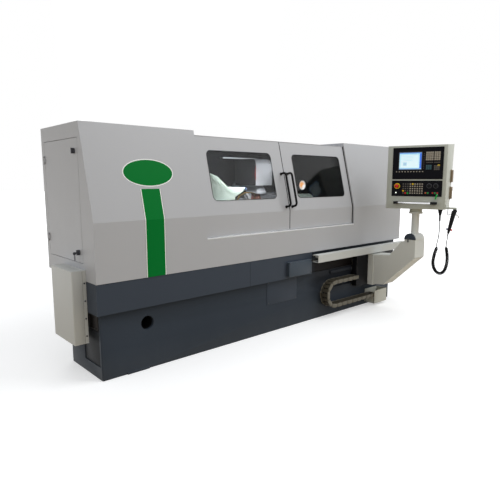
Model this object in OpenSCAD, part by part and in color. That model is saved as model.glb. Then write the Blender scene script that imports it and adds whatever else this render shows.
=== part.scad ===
/* [Enclosure] */
// Length of the enclosure
machine_l = 3800; // [3700:10:4000]
// Depth of the enclosure
enclosure_d = 880; // [860:10:960]
// Height of the end section roofs
enclosure_h = 1790; // [1770:5:1830]
// Height of the fold between the upright and the leaning front
crease_h = 1120; // [1110:5:1140]
// Height of the lower edge of the light grey sheets
skin_h = 705; // [690:1:720]
// How far the front leans back between the fold and the roof
setback = 167; // [150:1:180]
// Length of each end section
end_section_l = 930; // [900:5:960]
// Sheet thickness of the enclosure
sheet = 3; // [2:0.5:4]

/* [Doors] */
// How far the sliding doors sit behind the end sections
door_inset = 20; // [16:1:24]
// Height of the door sill
sill_h = 942; // [930:1:950]
// How far the door tops lie below the end section roofs
door_drop = 39; // [35:1:60]
// Distance from the middle of the machine to the near edge of a window
window_near = 142; // [120:1:160]
// Distance from the middle of the machine to the far edge of a window
window_far = 865; // [820:1:880]
// Distance along the lean from the fold to the lower edge of a window
window_foot = 118; // [100:1:130]
// Distance along the lean from the upper edge of a window to the door top
window_head = 114; // [100:1:130]
// Length of the door handles
handle_l = 308; // [240:4:340]
// Distance from a door to the middle of its handle bar
handle_out = 62; // [50:1:66]

/* [Bed] */
// Height of the lower part of the bed
plinth_h = 485; // [470:1:500]
// How far the enclosure overhangs the bed at the rear
rear_overhang = 299; // [280:1:320]
// Diameter of the holes for the transport bars
lift_hole_d = 104; // [90:1:110]
// Distance of the transport holes from the middle
lift_hole_x = 1500; // [1450:10:1550]

/* [Grinding] */
// Height of the work centres above the table
head_h = 355; // [340:5:380]
// Diameter of the grinding wheel
wheel_d = 400; // [350:10:400]
// Width of the grinding wheel
wheel_w = 30; // [20:1:40]

/* [Pendant] */
// Place of the pendant post along the machine
post_x = 1305; // [1250:5:1400]
// Distance of the pendant post in front of the middle line
post_y = -962; // [-980:1:-950]
// Width of the pendant arm
arm_w = 190; // [180:2:200]
// Angle at which the pendant is turned
pendant_turn = -74; // [-80:1:-60]
// Width of the operator panels
panel_w = 483; // [482:1:484]
// Width of the housing's face to the left of the panels
left_margin = 52.5; // [45:0.5:60]
// Width of the housing's face to the right of the panels
right_margin = 33.5; // [30:0.5:45]

/* [Hidden] */
$fn = 48;

// colours of the finishes
light_grey = [0.66, 0.67, 0.69];
slate = [0.20, 0.22, 0.25];
beige_grey = [0.58, 0.59, 0.56];
black = [0.06, 0.06, 0.07];
steel = [0.72, 0.73, 0.74];
pale_green = [0.78, 0.86, 0.80];

// clearance of a sliding or turning fit
fit = 0.05;
// clearance between bodies that pass each other
pass = 0.5;

// enclosure planes
half_l = machine_l / 2;
front_y = -enclosure_d / 2;
rear_y = enclosure_d / 2;
lean = atan(setback / (enclosure_h - crease_h));
run = tan(lean);
door_edge = half_l - end_section_l;
door_y = front_y + door_inset;
door_z = sill_h + 4;
door_top = enclosure_h - door_drop;
door_lap = 20;
door_flange = 12;
roof_low = door_top + 1;
sill_t = 8;
guide_y = door_y + run * (door_top - crease_h) + 15;
slope_low = window_foot;
slope_high = (door_top - crease_h) / cos(lean) - window_head;
window_r = 42;
pane_lap = 12;
pane_t = 6;
handle_x = 40;
handle_foot = 38;
bend_r = 28;
bar_r = 10;
cover_t = 2;
cover_r = 8;
// side access opening
access_y0 = front_y + 194;
access_y1 = rear_y - 54;
access_z0 = skin_h + 119;
access_z1 = enclosure_h - 104;
access_gap = 3;
hinge_r = 6;
hinge_pin_r = 3;
hinge_zs = [access_z0 + 136, access_z1 - 136];
hinge_l = 60;
lock_y = access_y0 + 59;
lock_zs = [access_z0 + 74, access_z1 - 88];
lock_r = 11;
rose_r = 19;
// bed: lower part, narrower upper part and the carrier for the wheelhead
plinth_x0 = -half_l + 35;
plinth_x1 = half_l - 120;
bed_x1 = half_l - 15;
plinth_y0 = front_y + 47;
plinth_y1 = rear_y - rear_overhang;
corner_cut = 8;
bed_step = 13;
bed_wing_x = 700;
bed_wing_y = rear_y - 12;
bed_y0 = plinth_y0 + bed_step;
lug_w = 178;
lug_t = 9;
lug_h = 14;
pocket_depth = 30;
pocket_y0 = plinth_y0 + 28;
pocket_y1 = pocket_y0 + 260;
pocket_z0 = 92;
way_h = 40;
way_w = 50;
way_x = door_edge - 20;
table_z = skin_h + way_h;
skirt_t = 6;
skirt_y0 = front_y + 4;
skirt_end = 306;
seam_x = -510;
seam_gap = 3;
// transport holes
lift_z = 354;
// covers on the base
small_box = [-48, 266, skin_h - 200, skin_h - 64];
small_box_d = 34;
plinth_cover = [-268, 131, plinth_h - 225, plinth_h - 1];
plinth_cover_t = 4;
// junction box
box_x0 = -half_l - 100;
box_x1 = -half_l - 25;
box_y0 = front_y + 167;
box_y1 = box_y0 + 378;
box_z1 = access_z0 - 41;
box_z0 = box_z1 - 523;
box_wall = 3;
box_r = 7;
entry_r = 10.2;
entry_x = (box_x1 - half_l - box_wall) / 2;
screw_r = 6;
// front rail
rail_x0 = 291;
rail_y0 = front_y - 91;
rail_y1 = rail_y0 + 70;
rail_z1 = skin_h - 24;
rail_z0 = rail_z1 - 73;
rail_wall = 4;
rail_lip = 12;
guide_x0 = 640;
guide_zs = [plinth_h - 221, plinth_h - 45];
guide_w = 30;
guide_t = 20;
// pendant arm
arm_x0 = post_x - arm_w / 2;
arm_x1 = post_x + arm_w / 2;
carriage_x0 = arm_x0 - 210;
carriage_y0 = front_y - 40;
carriage_z0 = guide_zs[0] - 2;
carriage_z1 = carriage_z0 + 330;
knuckle_z = 800;
knuckle_r = 58;
cap_r = 62;
post_r = 38;
post_top = 1062;
swivel_z = 1078;
swivel_r = 67;
// drag chain, from the carriage round its bend into the trough
chain_y0 = front_y - 72;
chain_y1 = plinth_y0 - 22;
chain_h = 38;
chain_mid_r = 124;
chain_z = carriage_z0 - 16;
arc_links = 9;
top_links = 8;
low_links = 16;
link_l = 2 * chain_mid_r * sin(90 / arc_links);
link_end_l = 45;
link_t = 4;
inner_r = chain_h / 2 - 1.5;
chain_x = carriage_x0 - link_end_l - top_links * link_l;
chain_low_end = chain_x + low_links * link_l + link_end_l;
trough_x0 = chain_low_end - 54;
trough_x1 = trough_x0 + 240;
trough_z0 = 25;
trough_z1 = 173;
trough_wall = 4;
// pendant housing in its own frame: x to the right, y away from the operator
panel_x = 20;
house_x0 = panel_x - panel_w / 2 - left_margin;
house_x1 = panel_x + panel_w / 2 + right_margin;
house_y0 = -122;
house_z0 = 1114;
house_z1 = 1739;
house_d_low = 255;
house_d_top = 345;
house_rise = 22;
house_wall = 4;
upper_z = 1409;
upper_h = 310;
lower_z = 1240;
lower_h = 155;
panel_t = 4;
panel_r = 4;
// screen opening of the upper panel, from the middle of the panel and its lower edge
screen = [-178, 37, 97, 262];
// key fields: x, z, columns, rows, pitch in x and z, size in x and z
upper_keys = [[-208, 70, 10, 1, 28, 1, 15, 10], [55, 100, 1, 8, 1, 20, 9, 14],
  [78, 182, 4, 5, 18, 17, 15, 14], [156, 182, 3, 5, 19, 17, 16, 14],
  [83, 158, 4, 1, 16, 1, 13, 8], [156, 158, 3, 1, 19, 1, 16, 8],
  [82, 94, 3, 3, 18, 15.5, 15, 13], [157, 88, 3, 3, 18, 16, 15, 13],
  [192, 138, 1, 1, 1, 1, 15, 12]];
machine_keys = [for (x = [-137, -67.5, 1]) [x, 22, 3, 5, 22.5, 22.5, 19, 18.5]];
key_t = 1.5;
// the five push buttons: offset from the middle of the panels
button_xs = [90, 112, 157, 179, 201];
button_z = lower_z + 35;
button_r = 7;
knob_xs = [121, 182];
knob_z = lower_z + 104;
knob_r = 17;
stop_x = -188;
stop_z = lower_z + 101;
stop_r = 19;
key_x = 201;
key_z = lower_z + 20;
handle_z = lower_z - 64;
handle_y = house_y0 - 40;
// handset and its cord, in the pendant frame
cord_y = -60;
hand_w = 44;
hand_d = 36;
hand_l = 222;
hand_foot = [332, 884];
hand_tilt = 11;
hand_button_z = 36;
hand_button_r = 9;
relief_x = 246;
relief_z = 1000;
cord_r = 3.5;
coil_r = 13;
cord_sides = 10;
top_route = [[246, 1000], [248, 930], [245, 860], [238, 800], [231, 768], [234.6, 741]];
coil_route = [[235, 739], [215, 665], [205, 591], [212, 538], [235, 493], [272, 473],
  [304, 489], [325, 530], [337, 598], [333, 675], [319, 745]];
end_route = [[319, 746.2], [321, 781], [328, 846], [332, 884]];

// ---------- shared shapes ----------

module box(x0, x1, y0, y1, z0, z1) {
  translate([x0, y0, z0]) cube([x1 - x0, y1 - y0, z1 - z0]);
}

// an outline in (Y, Z) drawn out along X
module along_x(x0, x1) {
  translate([x0, 0, 0]) rotate([90, 0, 90]) linear_extrude(height = x1 - x0) children();
}

// an outline in (X, Z) drawn out along Y
module along_y(y0, y1) {
  translate([0, y1, 0]) rotate([90, 0, 0]) linear_extrude(height = y1 - y0) children();
}

// a round bar along X
module rod_x(x0, x1, y, z, r) {
  translate([x0, y, z]) rotate([0, 90, 0]) cylinder(r = r, h = x1 - x0);
}

// a round bar along Y
module rod_y(y0, y1, x, z, r) {
  translate([x, y1, z]) rotate([90, 0, 0]) cylinder(r = r, h = y1 - y0);
}

// rectangle with true round corners
module round_rect(x0, x1, z0, z1, r) {
  translate([x0 + r, z0]) square([x1 - x0 - 2 * r, z1 - z0]);
  translate([x0, z0 + r]) square([x1 - x0, z1 - z0 - 2 * r]);
  for (x = [x0 + r, x1 - r])
    for (z = [z0 + r, z1 - r])
      translate([x, z]) circle(r);
}

// section of a sheet that stands upright to the fold and then leans back
function fold_band(y0, z0, z1, t) = [[y0, z0], [y0, crease_h],
  [y0 + run * (z1 - crease_h), z1],
  [y0 + run * (z1 - crease_h) + t / cos(lean), z1],
  [y0 + t, crease_h + t * (1 - 1 / cos(lean)) / run], [y0 + t, z0]];

// frame whose z runs up the leaning front and whose y points into the machine
module on_slope(y0) {
  translate([0, y0, crease_h]) rotate([-lean, 0, 0]) children();
}

module in_pendant() {
  translate([post_x, post_y, 0]) rotate([0, 0, pendant_turn]) children();
}

// a handset piece, measured from the foot of the handset along its own length
module on_handset() {
  in_pendant()
    translate([hand_foot[0], cord_y, hand_foot[1]]) rotate([0, hand_tilt, 0]) children();
}

// point on a smooth curve through four neighbours
function curve_point(a, b, c, d, t) = 0.5 * ((2 * b) + (c - a) * t
  + (2 * a - 5 * b + 4 * c - d) * t * t + (3 * b - a - 3 * c + d) * t * t * t);

function smooth_route(p, steps) = [for (i = [0:len(p) - 2], k = [0:steps - 1])
  curve_point(p[max(i - 1, 0)], p[i], p[i + 1], p[min(i + 2, len(p) - 1)], k / steps),
  p[len(p) - 1]];

// tube of even radius along a route in the (X, Z) plane
module cord_tube(route, steps, r) {
  p = smooth_route(route, steps);
  n = len(p);
  s = cord_sides;
  dirs = [for (i = [0:n - 1]) let(d = p[min(i + 1, n - 1)] - p[max(i - 1, 0)]) d / norm(d)];
  points = [for (i = [0:n - 1], k = [0:s - 1])
    let(a = 360 * k / s, side = [-dirs[i][1], dirs[i][0]])
    [p[i][0] + r * cos(a) * side[0], r * sin(a), p[i][1] + r * cos(a) * side[1]]];
  skin = [for (i = [0:n - 2], k = [0:s - 1])
    [i * s + k, i * s + (k + 1) % s, (i + 1) * s + (k + 1) % s, (i + 1) * s + k]];
  caps = [[for (k = [s - 1:-1:0]) k], [for (k = [0:s - 1]) (n - 1) * s + k]];
  polyhedron(points = points, faces = concat(skin, caps), convexity = 6);
}

// ---------- bed and base ----------

// outline of the bed from above, with cut corners and the rear carrier for the wheelhead
module bed_plan(x0, x1, inset) {
  y0 = plinth_y0 + inset;
  y1 = plinth_y1 - inset;
  c = corner_cut;
  polygon([[x0 + c, y0], [x1 - c, y0], [x1, y0 + c], [x1, y1 - c], [x1 - c, y1], [x0 + c, y1],
    [x0, y1 - c], [x0, y0 + c]]);
  translate([-bed_wing_x, 0]) square([2 * bed_wing_x, bed_wing_y - inset]);
}

module machine_bed() {
  color(slate)
  difference() {
    union() {
      linear_extrude(height = plinth_h) bed_plan(plinth_x0, plinth_x1, 0);
      translate([0, 0, plinth_h - 1]) linear_extrude(height = skin_h - plinth_h + 1)
        bed_plan(plinth_x0 + bed_step, bed_x1, bed_step);
      // foot lugs
      for (x = [plinth_x0 + 279, plinth_x1 - 194])
        box(x - lug_w / 2, x + lug_w / 2, plinth_y0 - lug_t, plinth_y0 + 1, 0, lug_h);
      // table ways
      for (y = [work_y - 180, work_y + 110])
        box(-way_x, way_x, y, y + way_w, skin_h - 1, table_z - pass);
      // wheelhead ways
      for (x = [wheelhead_x0 + 20, wheelhead_x1 - 80])
        box(x, x + way_w, wheel_y - 95, bed_wing_y - 20, skin_h - 1, table_z - pass);
      // guide bars for the carriage of the pendant arm
      for (z = guide_zs)
        box(guide_x0, plinth_x1 - corner_cut, plinth_y0 - guide_t, plinth_y0 + 1, z, z + guide_w);
    }
    for (x = [-lift_hole_x, lift_hole_x])
      rod_y(plinth_y0 - 1, plinth_y1 + 1, x, lift_z, lift_hole_d / 2);
    // pocket in the left end
    box(plinth_x0 - 1, plinth_x0 + pocket_depth, pocket_y0, pocket_y1, pocket_z0, plinth_h + 1);
  }
}

// folded sheet band around the upper part of the bed, in two lengths
module front_skirt() {
  y0 = skirt_y0;
  y1 = y0 + skirt_t;
  left_end = seam_x - seam_gap / 2;
  right_start = seam_x + seam_gap / 2;
  color(slate) {
    box(-half_l, left_end, y0, y1, plinth_h, skin_h);
    box(-half_l, -half_l + skirt_t, y0, plinth_y1 - 41, plinth_h, skin_h);
    box(-half_l, left_end, y0, bed_y0, plinth_h, plinth_h + 5);
    box(right_start, skirt_end, y0, y1, plinth_h, skin_h);
    box(skirt_end - skirt_t, skirt_end, y0, bed_y0, plinth_h, skin_h);
    box(right_start, skirt_end, y0, bed_y0, plinth_h, plinth_h + 5);
  }
}

// plate with round corners in (X, Z), given as [x0, x1, z0, z1]
module cover_plate(size, y0, y1, r) {
  along_y(y0, y1) round_rect(size[0], size[1], size[2], size[3], r);
}

module base_covers() {
  color(slate) {
    // small box on the skirt with its raised lid
    cover_plate(small_box, skirt_y0 - small_box_d + 6, skirt_y0, 6);
    cover_plate(small_box + [-3, 3, -3, 3], skirt_y0 - small_box_d, skirt_y0 - small_box_d + 8, 8);
    cover_plate(plinth_cover, plinth_y0 - plinth_cover_t, plinth_y0, 3);
    // plate in the end pocket
    box(plinth_x0 + 6, plinth_x0 + 10, pocket_y0, pocket_y1, pocket_z0, plinth_h - 139);
  }
  // cable block in the end pocket
  color([0.24, 0.19, 0.16])
    box(plinth_x0 + 4, plinth_x0 + pocket_depth, pocket_y0 + 25, pocket_y0 + 175,
      plinth_h - 133, plinth_h - 23);
}

// ---------- enclosure ----------

module end_front(x0, x1, edge) {
  // sheet with a return beside the doors and a flange below
  along_x(x0, x1) polygon(fold_band(front_y, skin_h, enclosure_h, sheet));
  along_x(edge, edge + sheet)
    polygon(fold_band(front_y, sill_h + 1, roof_low, door_inset - 4));
  box(x0 + sheet, x1 - sheet, front_y, bed_y0 - 20, skin_h, skin_h + sheet);
}

module left_front_panel() {
  color(light_grey) end_front(-half_l, -door_edge, -door_edge - sheet);
}

module right_front_panel() {
  color(light_grey) end_front(door_edge, half_l, door_edge);
}

function end_outline() = [[front_y + sheet, skin_h],
  [front_y + sheet, crease_h + sheet * (1 - 1 / cos(lean)) / run],
  [front_y + sheet / cos(lean) + run * (enclosure_h - sheet - crease_h), enclosure_h - sheet],
  [rear_y - sheet, enclosure_h - sheet], [rear_y - sheet, skin_h]];

module left_end_panel() {
  color(light_grey) {
    difference() {
      along_x(-half_l, -half_l + sheet) polygon(end_outline());
      along_x(-half_l - 1, -half_l + sheet + 1)
        round_rect(access_y0, access_y1, access_z0, access_z1, 8);
    }
    // strikes for the two locks
    for (z = lock_zs)
      box(-half_l + sheet, -half_l + 24, access_y0 - 26, access_y0 - 4, z - 16, z + 16);
    // hinge barrels and their pins
    for (z = hinge_zs) {
      hinge_half(z - hinge_l / 2, z - hinge_l / 4 - 0.3, 1);
      hinge_half(z + hinge_l / 4 + 0.3, z + hinge_l / 2, 1);
      translate([-half_l - hinge_r, access_y1 + 1, z - hinge_l / 2])
        cylinder(r = hinge_pin_r, h = hinge_l);
    }
  }
}

// barrel of a hinge with its leaf, on the panel (side 1) or on the door (side -1)
module hinge_half(z0, z1, side) {
  translate([-half_l - hinge_r, access_y1 + 1, z0])
    difference() {
      union() {
        cylinder(r = hinge_r, h = z1 - z0);
        translate([0, side > 0 ? 0 : -18, 0]) cube([hinge_r, 18, z1 - z0]);
      }
      if (side < 0)
        translate([0, 0, -1]) cylinder(r = hinge_pin_r + fit, h = z1 - z0 + 2);
    }
}

module right_end_panel() {
  color(light_grey) {
    along_x(half_l - sheet, half_l) polygon(end_outline());
    // bolted service cover
    along_x(half_l - 1, half_l + cover_t)
      round_rect(access_y0 + 16, access_y1 - 16, access_z0 + 6, access_z1 - 6, cover_r);
  }
}

// one long folded sheet: raised over the end sections, lower over the doors
module roof_panel() {
  low = roof_low;
  lip_y = door_y + run * (door_top - crease_h) - 2;
  front_top = front_y + sheet / cos(lean) + run * (enclosure_h - sheet - crease_h);
  front_low = front_y + sheet / cos(lean) + run * (low - crease_h);
  front_end = front_y + sheet / cos(lean) + run * (enclosure_h - crease_h);
  color(light_grey) {
    for (s = [-1, 1]) {
      x0 = s > 0 ? door_edge : -half_l;
      box(x0, x0 + end_section_l, front_end, rear_y, enclosure_h - sheet, enclosure_h);
      // upright step between the low and the high roof, cut to the lean of the front
      along_x(s > 0 ? door_edge : -door_edge - sheet, s > 0 ? door_edge + sheet : -door_edge)
        polygon([[front_low, low], [front_top, enclosure_h - sheet],
          [front_end + 1, enclosure_h - sheet], [front_end + 1, enclosure_h],
          [rear_y, enclosure_h], [rear_y, low]]);
    }
    box(-door_edge - sheet, door_edge + sheet, lip_y, rear_y, low, low + sheet);
    // guide bar for both doors
    box(-half_l + 40, half_l - 40, guide_y, guide_y + 12, low - 30, low + 1);
  }
}

module rear_panel() {
  cover_w = (machine_l - 160) / 4;
  color(light_grey) {
    box(-half_l, half_l, rear_y - sheet, rear_y, skin_h, roof_low);
    for (s = [-1, 1]) {
      box(s > 0 ? door_edge + sheet : -half_l, s > 0 ? half_l : -door_edge - sheet,
        rear_y - sheet, rear_y, roof_low - 1, enclosure_h - sheet);
      // flange below, reaching in to the bed
      box(s > 0 ? bed_wing_x : -half_l + sheet, s > 0 ? half_l - sheet : -bed_wing_x,
        plinth_y1 - bed_step, rear_y, skin_h, skin_h + sheet);
    }
    // bolted service covers
    for (i = [0:3])
      along_y(rear_y - 1, rear_y + cover_t)
        round_rect(-half_l + 80 + i * cover_w + 30, -half_l + 80 + (i + 1) * cover_w - 30,
          skin_h + 55, door_top - 61, cover_r);
  }
}

// fixed sheet below the doors with the sill that they run on
module front_apron() {
  color(light_grey) {
    box(-door_edge, door_edge, front_y, front_y + sheet, skin_h, sill_h - sill_t + 1);
    box(-door_edge, door_edge, front_y, bed_y0 - 20, skin_h, skin_h + sheet);
  }
  color([0.88, 0.89, 0.90]) {
    box(-door_edge, door_edge, front_y, door_y + 28, sill_h - sill_t, sill_h);
    box(-half_l + 30, half_l - 30, door_y - 10, door_y + 28, sill_h - sill_t, sill_h);
  }
}

// walls that part the grinding chamber from the end sections
module chamber_walls() {
  y0 = door_y + 38;
  top = door_top - 40;
  step_y = plinth_y1 - bed_step - 1;
  color([0.30, 0.31, 0.32])
    for (x = [-door_edge + 8, door_edge - 8 - sheet])
      along_x(x, x + sheet)
        polygon([[y0, skin_h], [y0, crease_h], [y0 + run * (top - crease_h), top],
          [rear_y - sheet, top], [rear_y - sheet, skin_h + sheet], [step_y, skin_h + sheet],
          [step_y, skin_h]]);
}

module junction_box() {
  color(beige_grey)
    difference() {
      box(box_x1, -half_l, box_y0, box_y1, box_z0, box_z1);
      box(box_x1 - 1, -half_l - box_wall, box_y0 + box_wall, box_y1 - box_wall,
        box_z0 + box_wall, box_z1 - box_wall);
      // cable entry in the underside
      translate([entry_x, 0, box_z0 - 1]) cylinder(r = entry_r, h = box_wall + 2);
    }
}

module junction_box_lid() {
  color(beige_grey)
    difference() {
      translate([box_x0, 0, 0]) lid_block(0);
      translate([box_x0 + box_wall, 0, 0]) lid_block(box_wall);
    }
}

// block with two round upright edges, shrunk by a margin
module lid_block(m) {
  r = box_r;
  translate([0, 0, box_z0 + m])
    linear_extrude(height = box_z1 - box_z0 - 2 * m) {
      translate([r, box_y0 + m]) square([box_x1 - box_x0 - r, box_y1 - box_y0 - 2 * m]);
      translate([0, box_y0 + r]) square([r + 1, box_y1 - box_y0 - 2 * r]);
      for (y = [box_y0 + r, box_y1 - r])
        translate([r, y]) circle(r - m);
    }
}

// screws along the rim of the junction box
module cover_screws() {
  x = (box_x1 - half_l) / 2;
  pitch = (box_z1 - box_z0 - 144) / 3;
  color(black)
    for (i = [0:3]) {
      rod_y(box_y0 - 4, box_y0, x, box_z0 + 54 + i * pitch, screw_r);
      rod_y(box_y1, box_y1 + 4, x, box_z0 + 54 + i * pitch, screw_r);
    }
}

module work_lights() {
  tube_y = rear_y - 44;
  tube_z = roof_low - 126;
  lamp_z = centre_h + 165;
  // tube light on the rear wall
  color([0.95, 0.95, 0.92])
    rod_x(lamp_xs[0], lamp_xs[1], tube_y, tube_z, 9);
  color(black) {
    for (x = [lamp_xs[0] - 19, lamp_xs[1] - 1])
      box(x, x + 20, tube_y - 14, rear_y - sheet, tube_z - 14, tube_z + 14);
    // round lamp on its stalk
    rod_y(wheel_y - 66, rear_y - sheet, lamp_xs[2], lamp_z, 8);
    rod_y(wheel_y - 125, wheel_y - 65, lamp_xs[2], lamp_z, 60);
  }
}

// ---------- pendant rail and drag chain ----------

module slide_rail() {
  color(beige_grey) {
    difference() {
      box(rail_x0, half_l, rail_y0, rail_y1, rail_z0, rail_z1);
      box(rail_x0 - 1, half_l + 1, rail_y0 + rail_wall, rail_y1 - rail_wall, rail_z0 + rail_wall,
        rail_z1 - rail_wall);
      // slot between the two lips at the back
      box(rail_x0 - 1, half_l + 1, rail_y1 - rail_wall - 1, rail_y1 + 1, rail_z0 + rail_lip,
        rail_z1 - rail_lip);
    }
    // brackets back to the bed
    for (x = [rail_x0 + 129, post_x - 205, half_l - 120])
      box(x, x + 40, rail_y0 + 2, bed_y0, rail_z0 + 22, rail_z1 - 22);
  }
}

// open trough that holds the fixed end of the chain
module chain_end_box() {
  w = trough_wall;
  color(beige_grey)
    difference() {
      box(trough_x0, trough_x1, chain_y0 - 12, plinth_y0, trough_z0, trough_z1);
      box(trough_x0 - 1, trough_x1 - w, chain_y0 - 12 + w, plinth_y0 - w, trough_z0 + w,
        trough_z1 + 1);
    }
  // foot under the end of the chain
  color(slate) box(trough_x0 + 6, chain_low_end, chain_y0 + 6, chain_y1 - 6, trough_z0 + w - 1,
    chain_z - chain_mid_r - inner_r);
}

// place of pivot i in (X, Z), counted from the carriage round the bend to the trough
function pivot(i) = i <= top_links
  ? [chain_x + (top_links - i) * link_l, chain_z + chain_mid_r]
  : i <= top_links + arc_links
    ? [chain_x - chain_mid_r * sin((i - top_links) * 180 / arc_links),
       chain_z + chain_mid_r * cos((i - top_links) * 180 / arc_links)]
    : [chain_x + (i - top_links - arc_links) * link_l, chain_z - chain_mid_r];

// side plate of a link with round ends over its two pivots
module link_plate(a, b, y, r) {
  d = b - a;
  along_y(y, y + link_t)
    translate(a) rotate([0, 0, atan2(d[1], d[0])]) {
      translate([0, -r]) square([norm(d), 2 * r]);
      circle(r);
      translate([norm(d), 0]) circle(r);
    }
}

// bars across a link, inside and outside the bend
module link_bars(a, b) {
  d = b - a;
  along_y(chain_y0 + 1, chain_y1 - 1)
    translate(a) rotate([0, 0, atan2(d[1], d[0])])
      for (side = [-1, 1])
        translate([norm(d) * 0.28, side * (inner_r - 4) - 2]) square([norm(d) * 0.44, 4]);
}

// chain of links whose side plates lie in turn outside and inside, on pins
module drag_chain() {
  last = top_links + arc_links + low_links;
  color([0.36, 0.37, 0.33]) {
    for (i = [0:last - 1]) {
      outer = i % 2 == 0;
      shift = outer ? 0 : link_t - 0.2;
      for (y = [chain_y0 + shift, chain_y1 - link_t - shift])
        link_plate(pivot(i), pivot(i + 1), y, outer ? chain_h / 2 : inner_r);
      link_bars(pivot(i), pivot(i + 1));
    }
    for (i = [0:last])
      for (y = [chain_y0 - 1, chain_y1 - 2 * link_t])
        rod_y(y, y + 2 * link_t + 1, pivot(i)[0], pivot(i)[1], 6);
    // square end pieces at the carriage and in the trough
    for (z = [chain_z + chain_mid_r, chain_z - chain_mid_r])
      for (y = [chain_y0 + link_t - 0.2, chain_y1 - 2 * link_t + 0.2]) {
        x0 = z > chain_z ? pivot(0)[0] : pivot(last)[0];
        box(x0 - 2, x0 + link_end_l, y, y + link_t, z - inner_r, z + inner_r);
      }
    for (i = [0, last]) {
      x1 = pivot(i)[0] + link_end_l;
      box(x1 - 4, x1, chain_y0 + 5, chain_y1 - 5, pivot(i)[1] - inner_r + 1,
        pivot(i)[1] + inner_r - 1);
    }
  }
}

// ---------- sliding doors ----------

module door_sheet(x0, x1, w0, w1) {
  color(light_grey) {
    difference() {
      along_x(x0, x1) polygon(fold_band(door_y, door_z, door_top, sheet));
      on_slope(door_y) along_y(-5, sheet + 5)
        round_rect(w0, w1, slope_low, slope_high, window_r);
    }
    for (x = [x0, x1 - sheet])
      along_x(x, x + sheet) polygon(fold_band(door_y, door_z, door_top, door_flange));
    box(x0, x1, door_y, door_y + door_flange, door_z, door_z + sheet);
    // shoes on the sill and at the guide bar
    for (x = [x0 + 80, x1 - 140]) {
      box(x, x + 60, door_y + 3, door_y + door_flange, sill_h + pass, door_z);
      box(x, x + 60, guide_y - 16, guide_y - 1, door_top - 26, door_top - 6);
    }
  }
}

module left_door() {
  door_sheet(-door_edge - door_lap, -1, -window_far, -window_near);
}

module right_door() {
  door_sheet(1, door_edge + door_lap, window_near, window_far);
}

// pane that fills the opening flush and laps the sheet from behind
module pane(w0, w1) {
  color([0.12, 0.13, 0.14])
    on_slope(door_y) {
      along_y(0, sheet) round_rect(w0 + 0.5, w1 - 0.5, slope_low + 0.5, slope_high - 0.5,
        window_r - 0.5);
      along_y(sheet, sheet + pane_t) round_rect(w0 - pane_lap, w1 + pane_lap,
        slope_low - pane_lap, slope_high + pane_lap, window_r);
    }
}

module left_window() {
  pane(-window_far, -window_near);
}

module right_window() {
  pane(window_near, window_far);
}

// round bar bent back to the door at both ends
module door_handle(x) {
  z0 = handle_foot;
  z1 = z0 + handle_l;
  color(black)
    on_slope(door_y)
      translate([x, 0, 0]) {
        translate([0, -handle_out, z0 + bend_r]) cylinder(r = bar_r, h = handle_l - 2 * bend_r);
        for (z = [z0, z1]) {
          rod_y(-handle_out + bend_r, 0, 0, z, bar_r);
          rod_y(-4, 0, 0, z, bar_r + 4);
        }
        translate([0, -handle_out + bend_r, z1 - bend_r]) handle_bend(90);
        translate([0, -handle_out + bend_r, z0 + bend_r]) handle_bend(180);
      }
}

module handle_bend(start) {
  rotate([90, 0, 90]) rotate([0, 0, start]) rotate_extrude(angle = 90)
    translate([bend_r, 0]) circle(bar_r);
}

module left_door_handle() {
  door_handle(-handle_x);
}

module right_door_handle() {
  door_handle(handle_x);
}

// ---------- side access door ----------

module access_door() {
  y0 = access_y0 + access_gap;
  y1 = access_y1 - access_gap;
  z0 = access_z0 + access_gap;
  z1 = access_z1 - access_gap;
  x1 = -half_l + 22;
  color(light_grey) {
    difference() {
      union() {
        along_x(-half_l, -half_l + sheet) round_rect(y0, y1, z0, z1, 6);
        for (y = [y0, y1 - sheet])
          box(-half_l + sheet, x1, y, y + sheet, z0 + 8, z1 - 8);
        for (z = [z0, z1 - sheet])
          box(-half_l + sheet, x1, y0 + 8, y1 - 8, z, z + sheet);
      }
      for (z = lock_zs)
        rod_x(-half_l - 1, -half_l + sheet + 1, lock_y, z, lock_r + fit);
    }
    for (z = hinge_zs)
      hinge_half(z - hinge_l / 4, z + hinge_l / 4, -1);
  }
}

// quarter-turn lock with its inside cam
module quarter_lock(z) {
  color(black) {
    rod_x(-half_l - 9, -half_l - 0.3, lock_y, z, rose_r);
    rod_x(-half_l - 0.4, -half_l + 32, lock_y, z, lock_r);
    // wing of the knob
    along_x(-half_l - 22, -half_l - 8)
      translate([lock_y, z]) {
        translate([-5, -14]) square([10, 28]);
        for (end = [-14, 14]) translate([0, end]) circle(5);
      }
    // cam behind the strike
    box(-half_l + 25, -half_l + 30, lock_y - 78, lock_y, z - 9, z + 9);
  }
}

module upper_lock() {
  quarter_lock(lock_zs[1]);
}

module lower_lock() {
  z = lock_zs[0];
  quarter_lock(z);
  // key left in the lock, with its bow and tag
  color(black) {
    box(-half_l - 34, -half_l - 21, lock_y - 1.5, lock_y + 1.5, z - 5, z + 5);
    rod_y(lock_y - 1.5, lock_y + 1.5, -half_l - 36, z - 4, 11);
    box(-half_l - 37, -half_l - 34, lock_y - 9, lock_y + 9, z - 58, z - 8);
  }
}

// ---------- work table, heads and wheel ----------

// the table keeps clear of the chamber's side walls
table_gap_l = 150;
table_gap_r = 330;
table_x0 = -door_edge + table_gap_l;
table_x1 = door_edge - table_gap_r;
table_h = 80;
table_top = table_z + table_h;
centre_h = table_top + head_h;
wheel_r = wheel_d / 2;
guard_r = wheel_r + 40;
guard_wall = 5;
guard_x = 42;
wheel_y = rear_y - 15 - guard_r;
work_y = wheel_y - wheel_r - 95;
table_y0 = work_y - 190;
table_y1 = work_y + 170;
slot_w = 18;
slot_d = 22;
spindle_r = 60;
quill_r = 32;
wheelhead_x0 = 90;
wheelhead_x1 = 400;
wheel_bore_r = 45;
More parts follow.
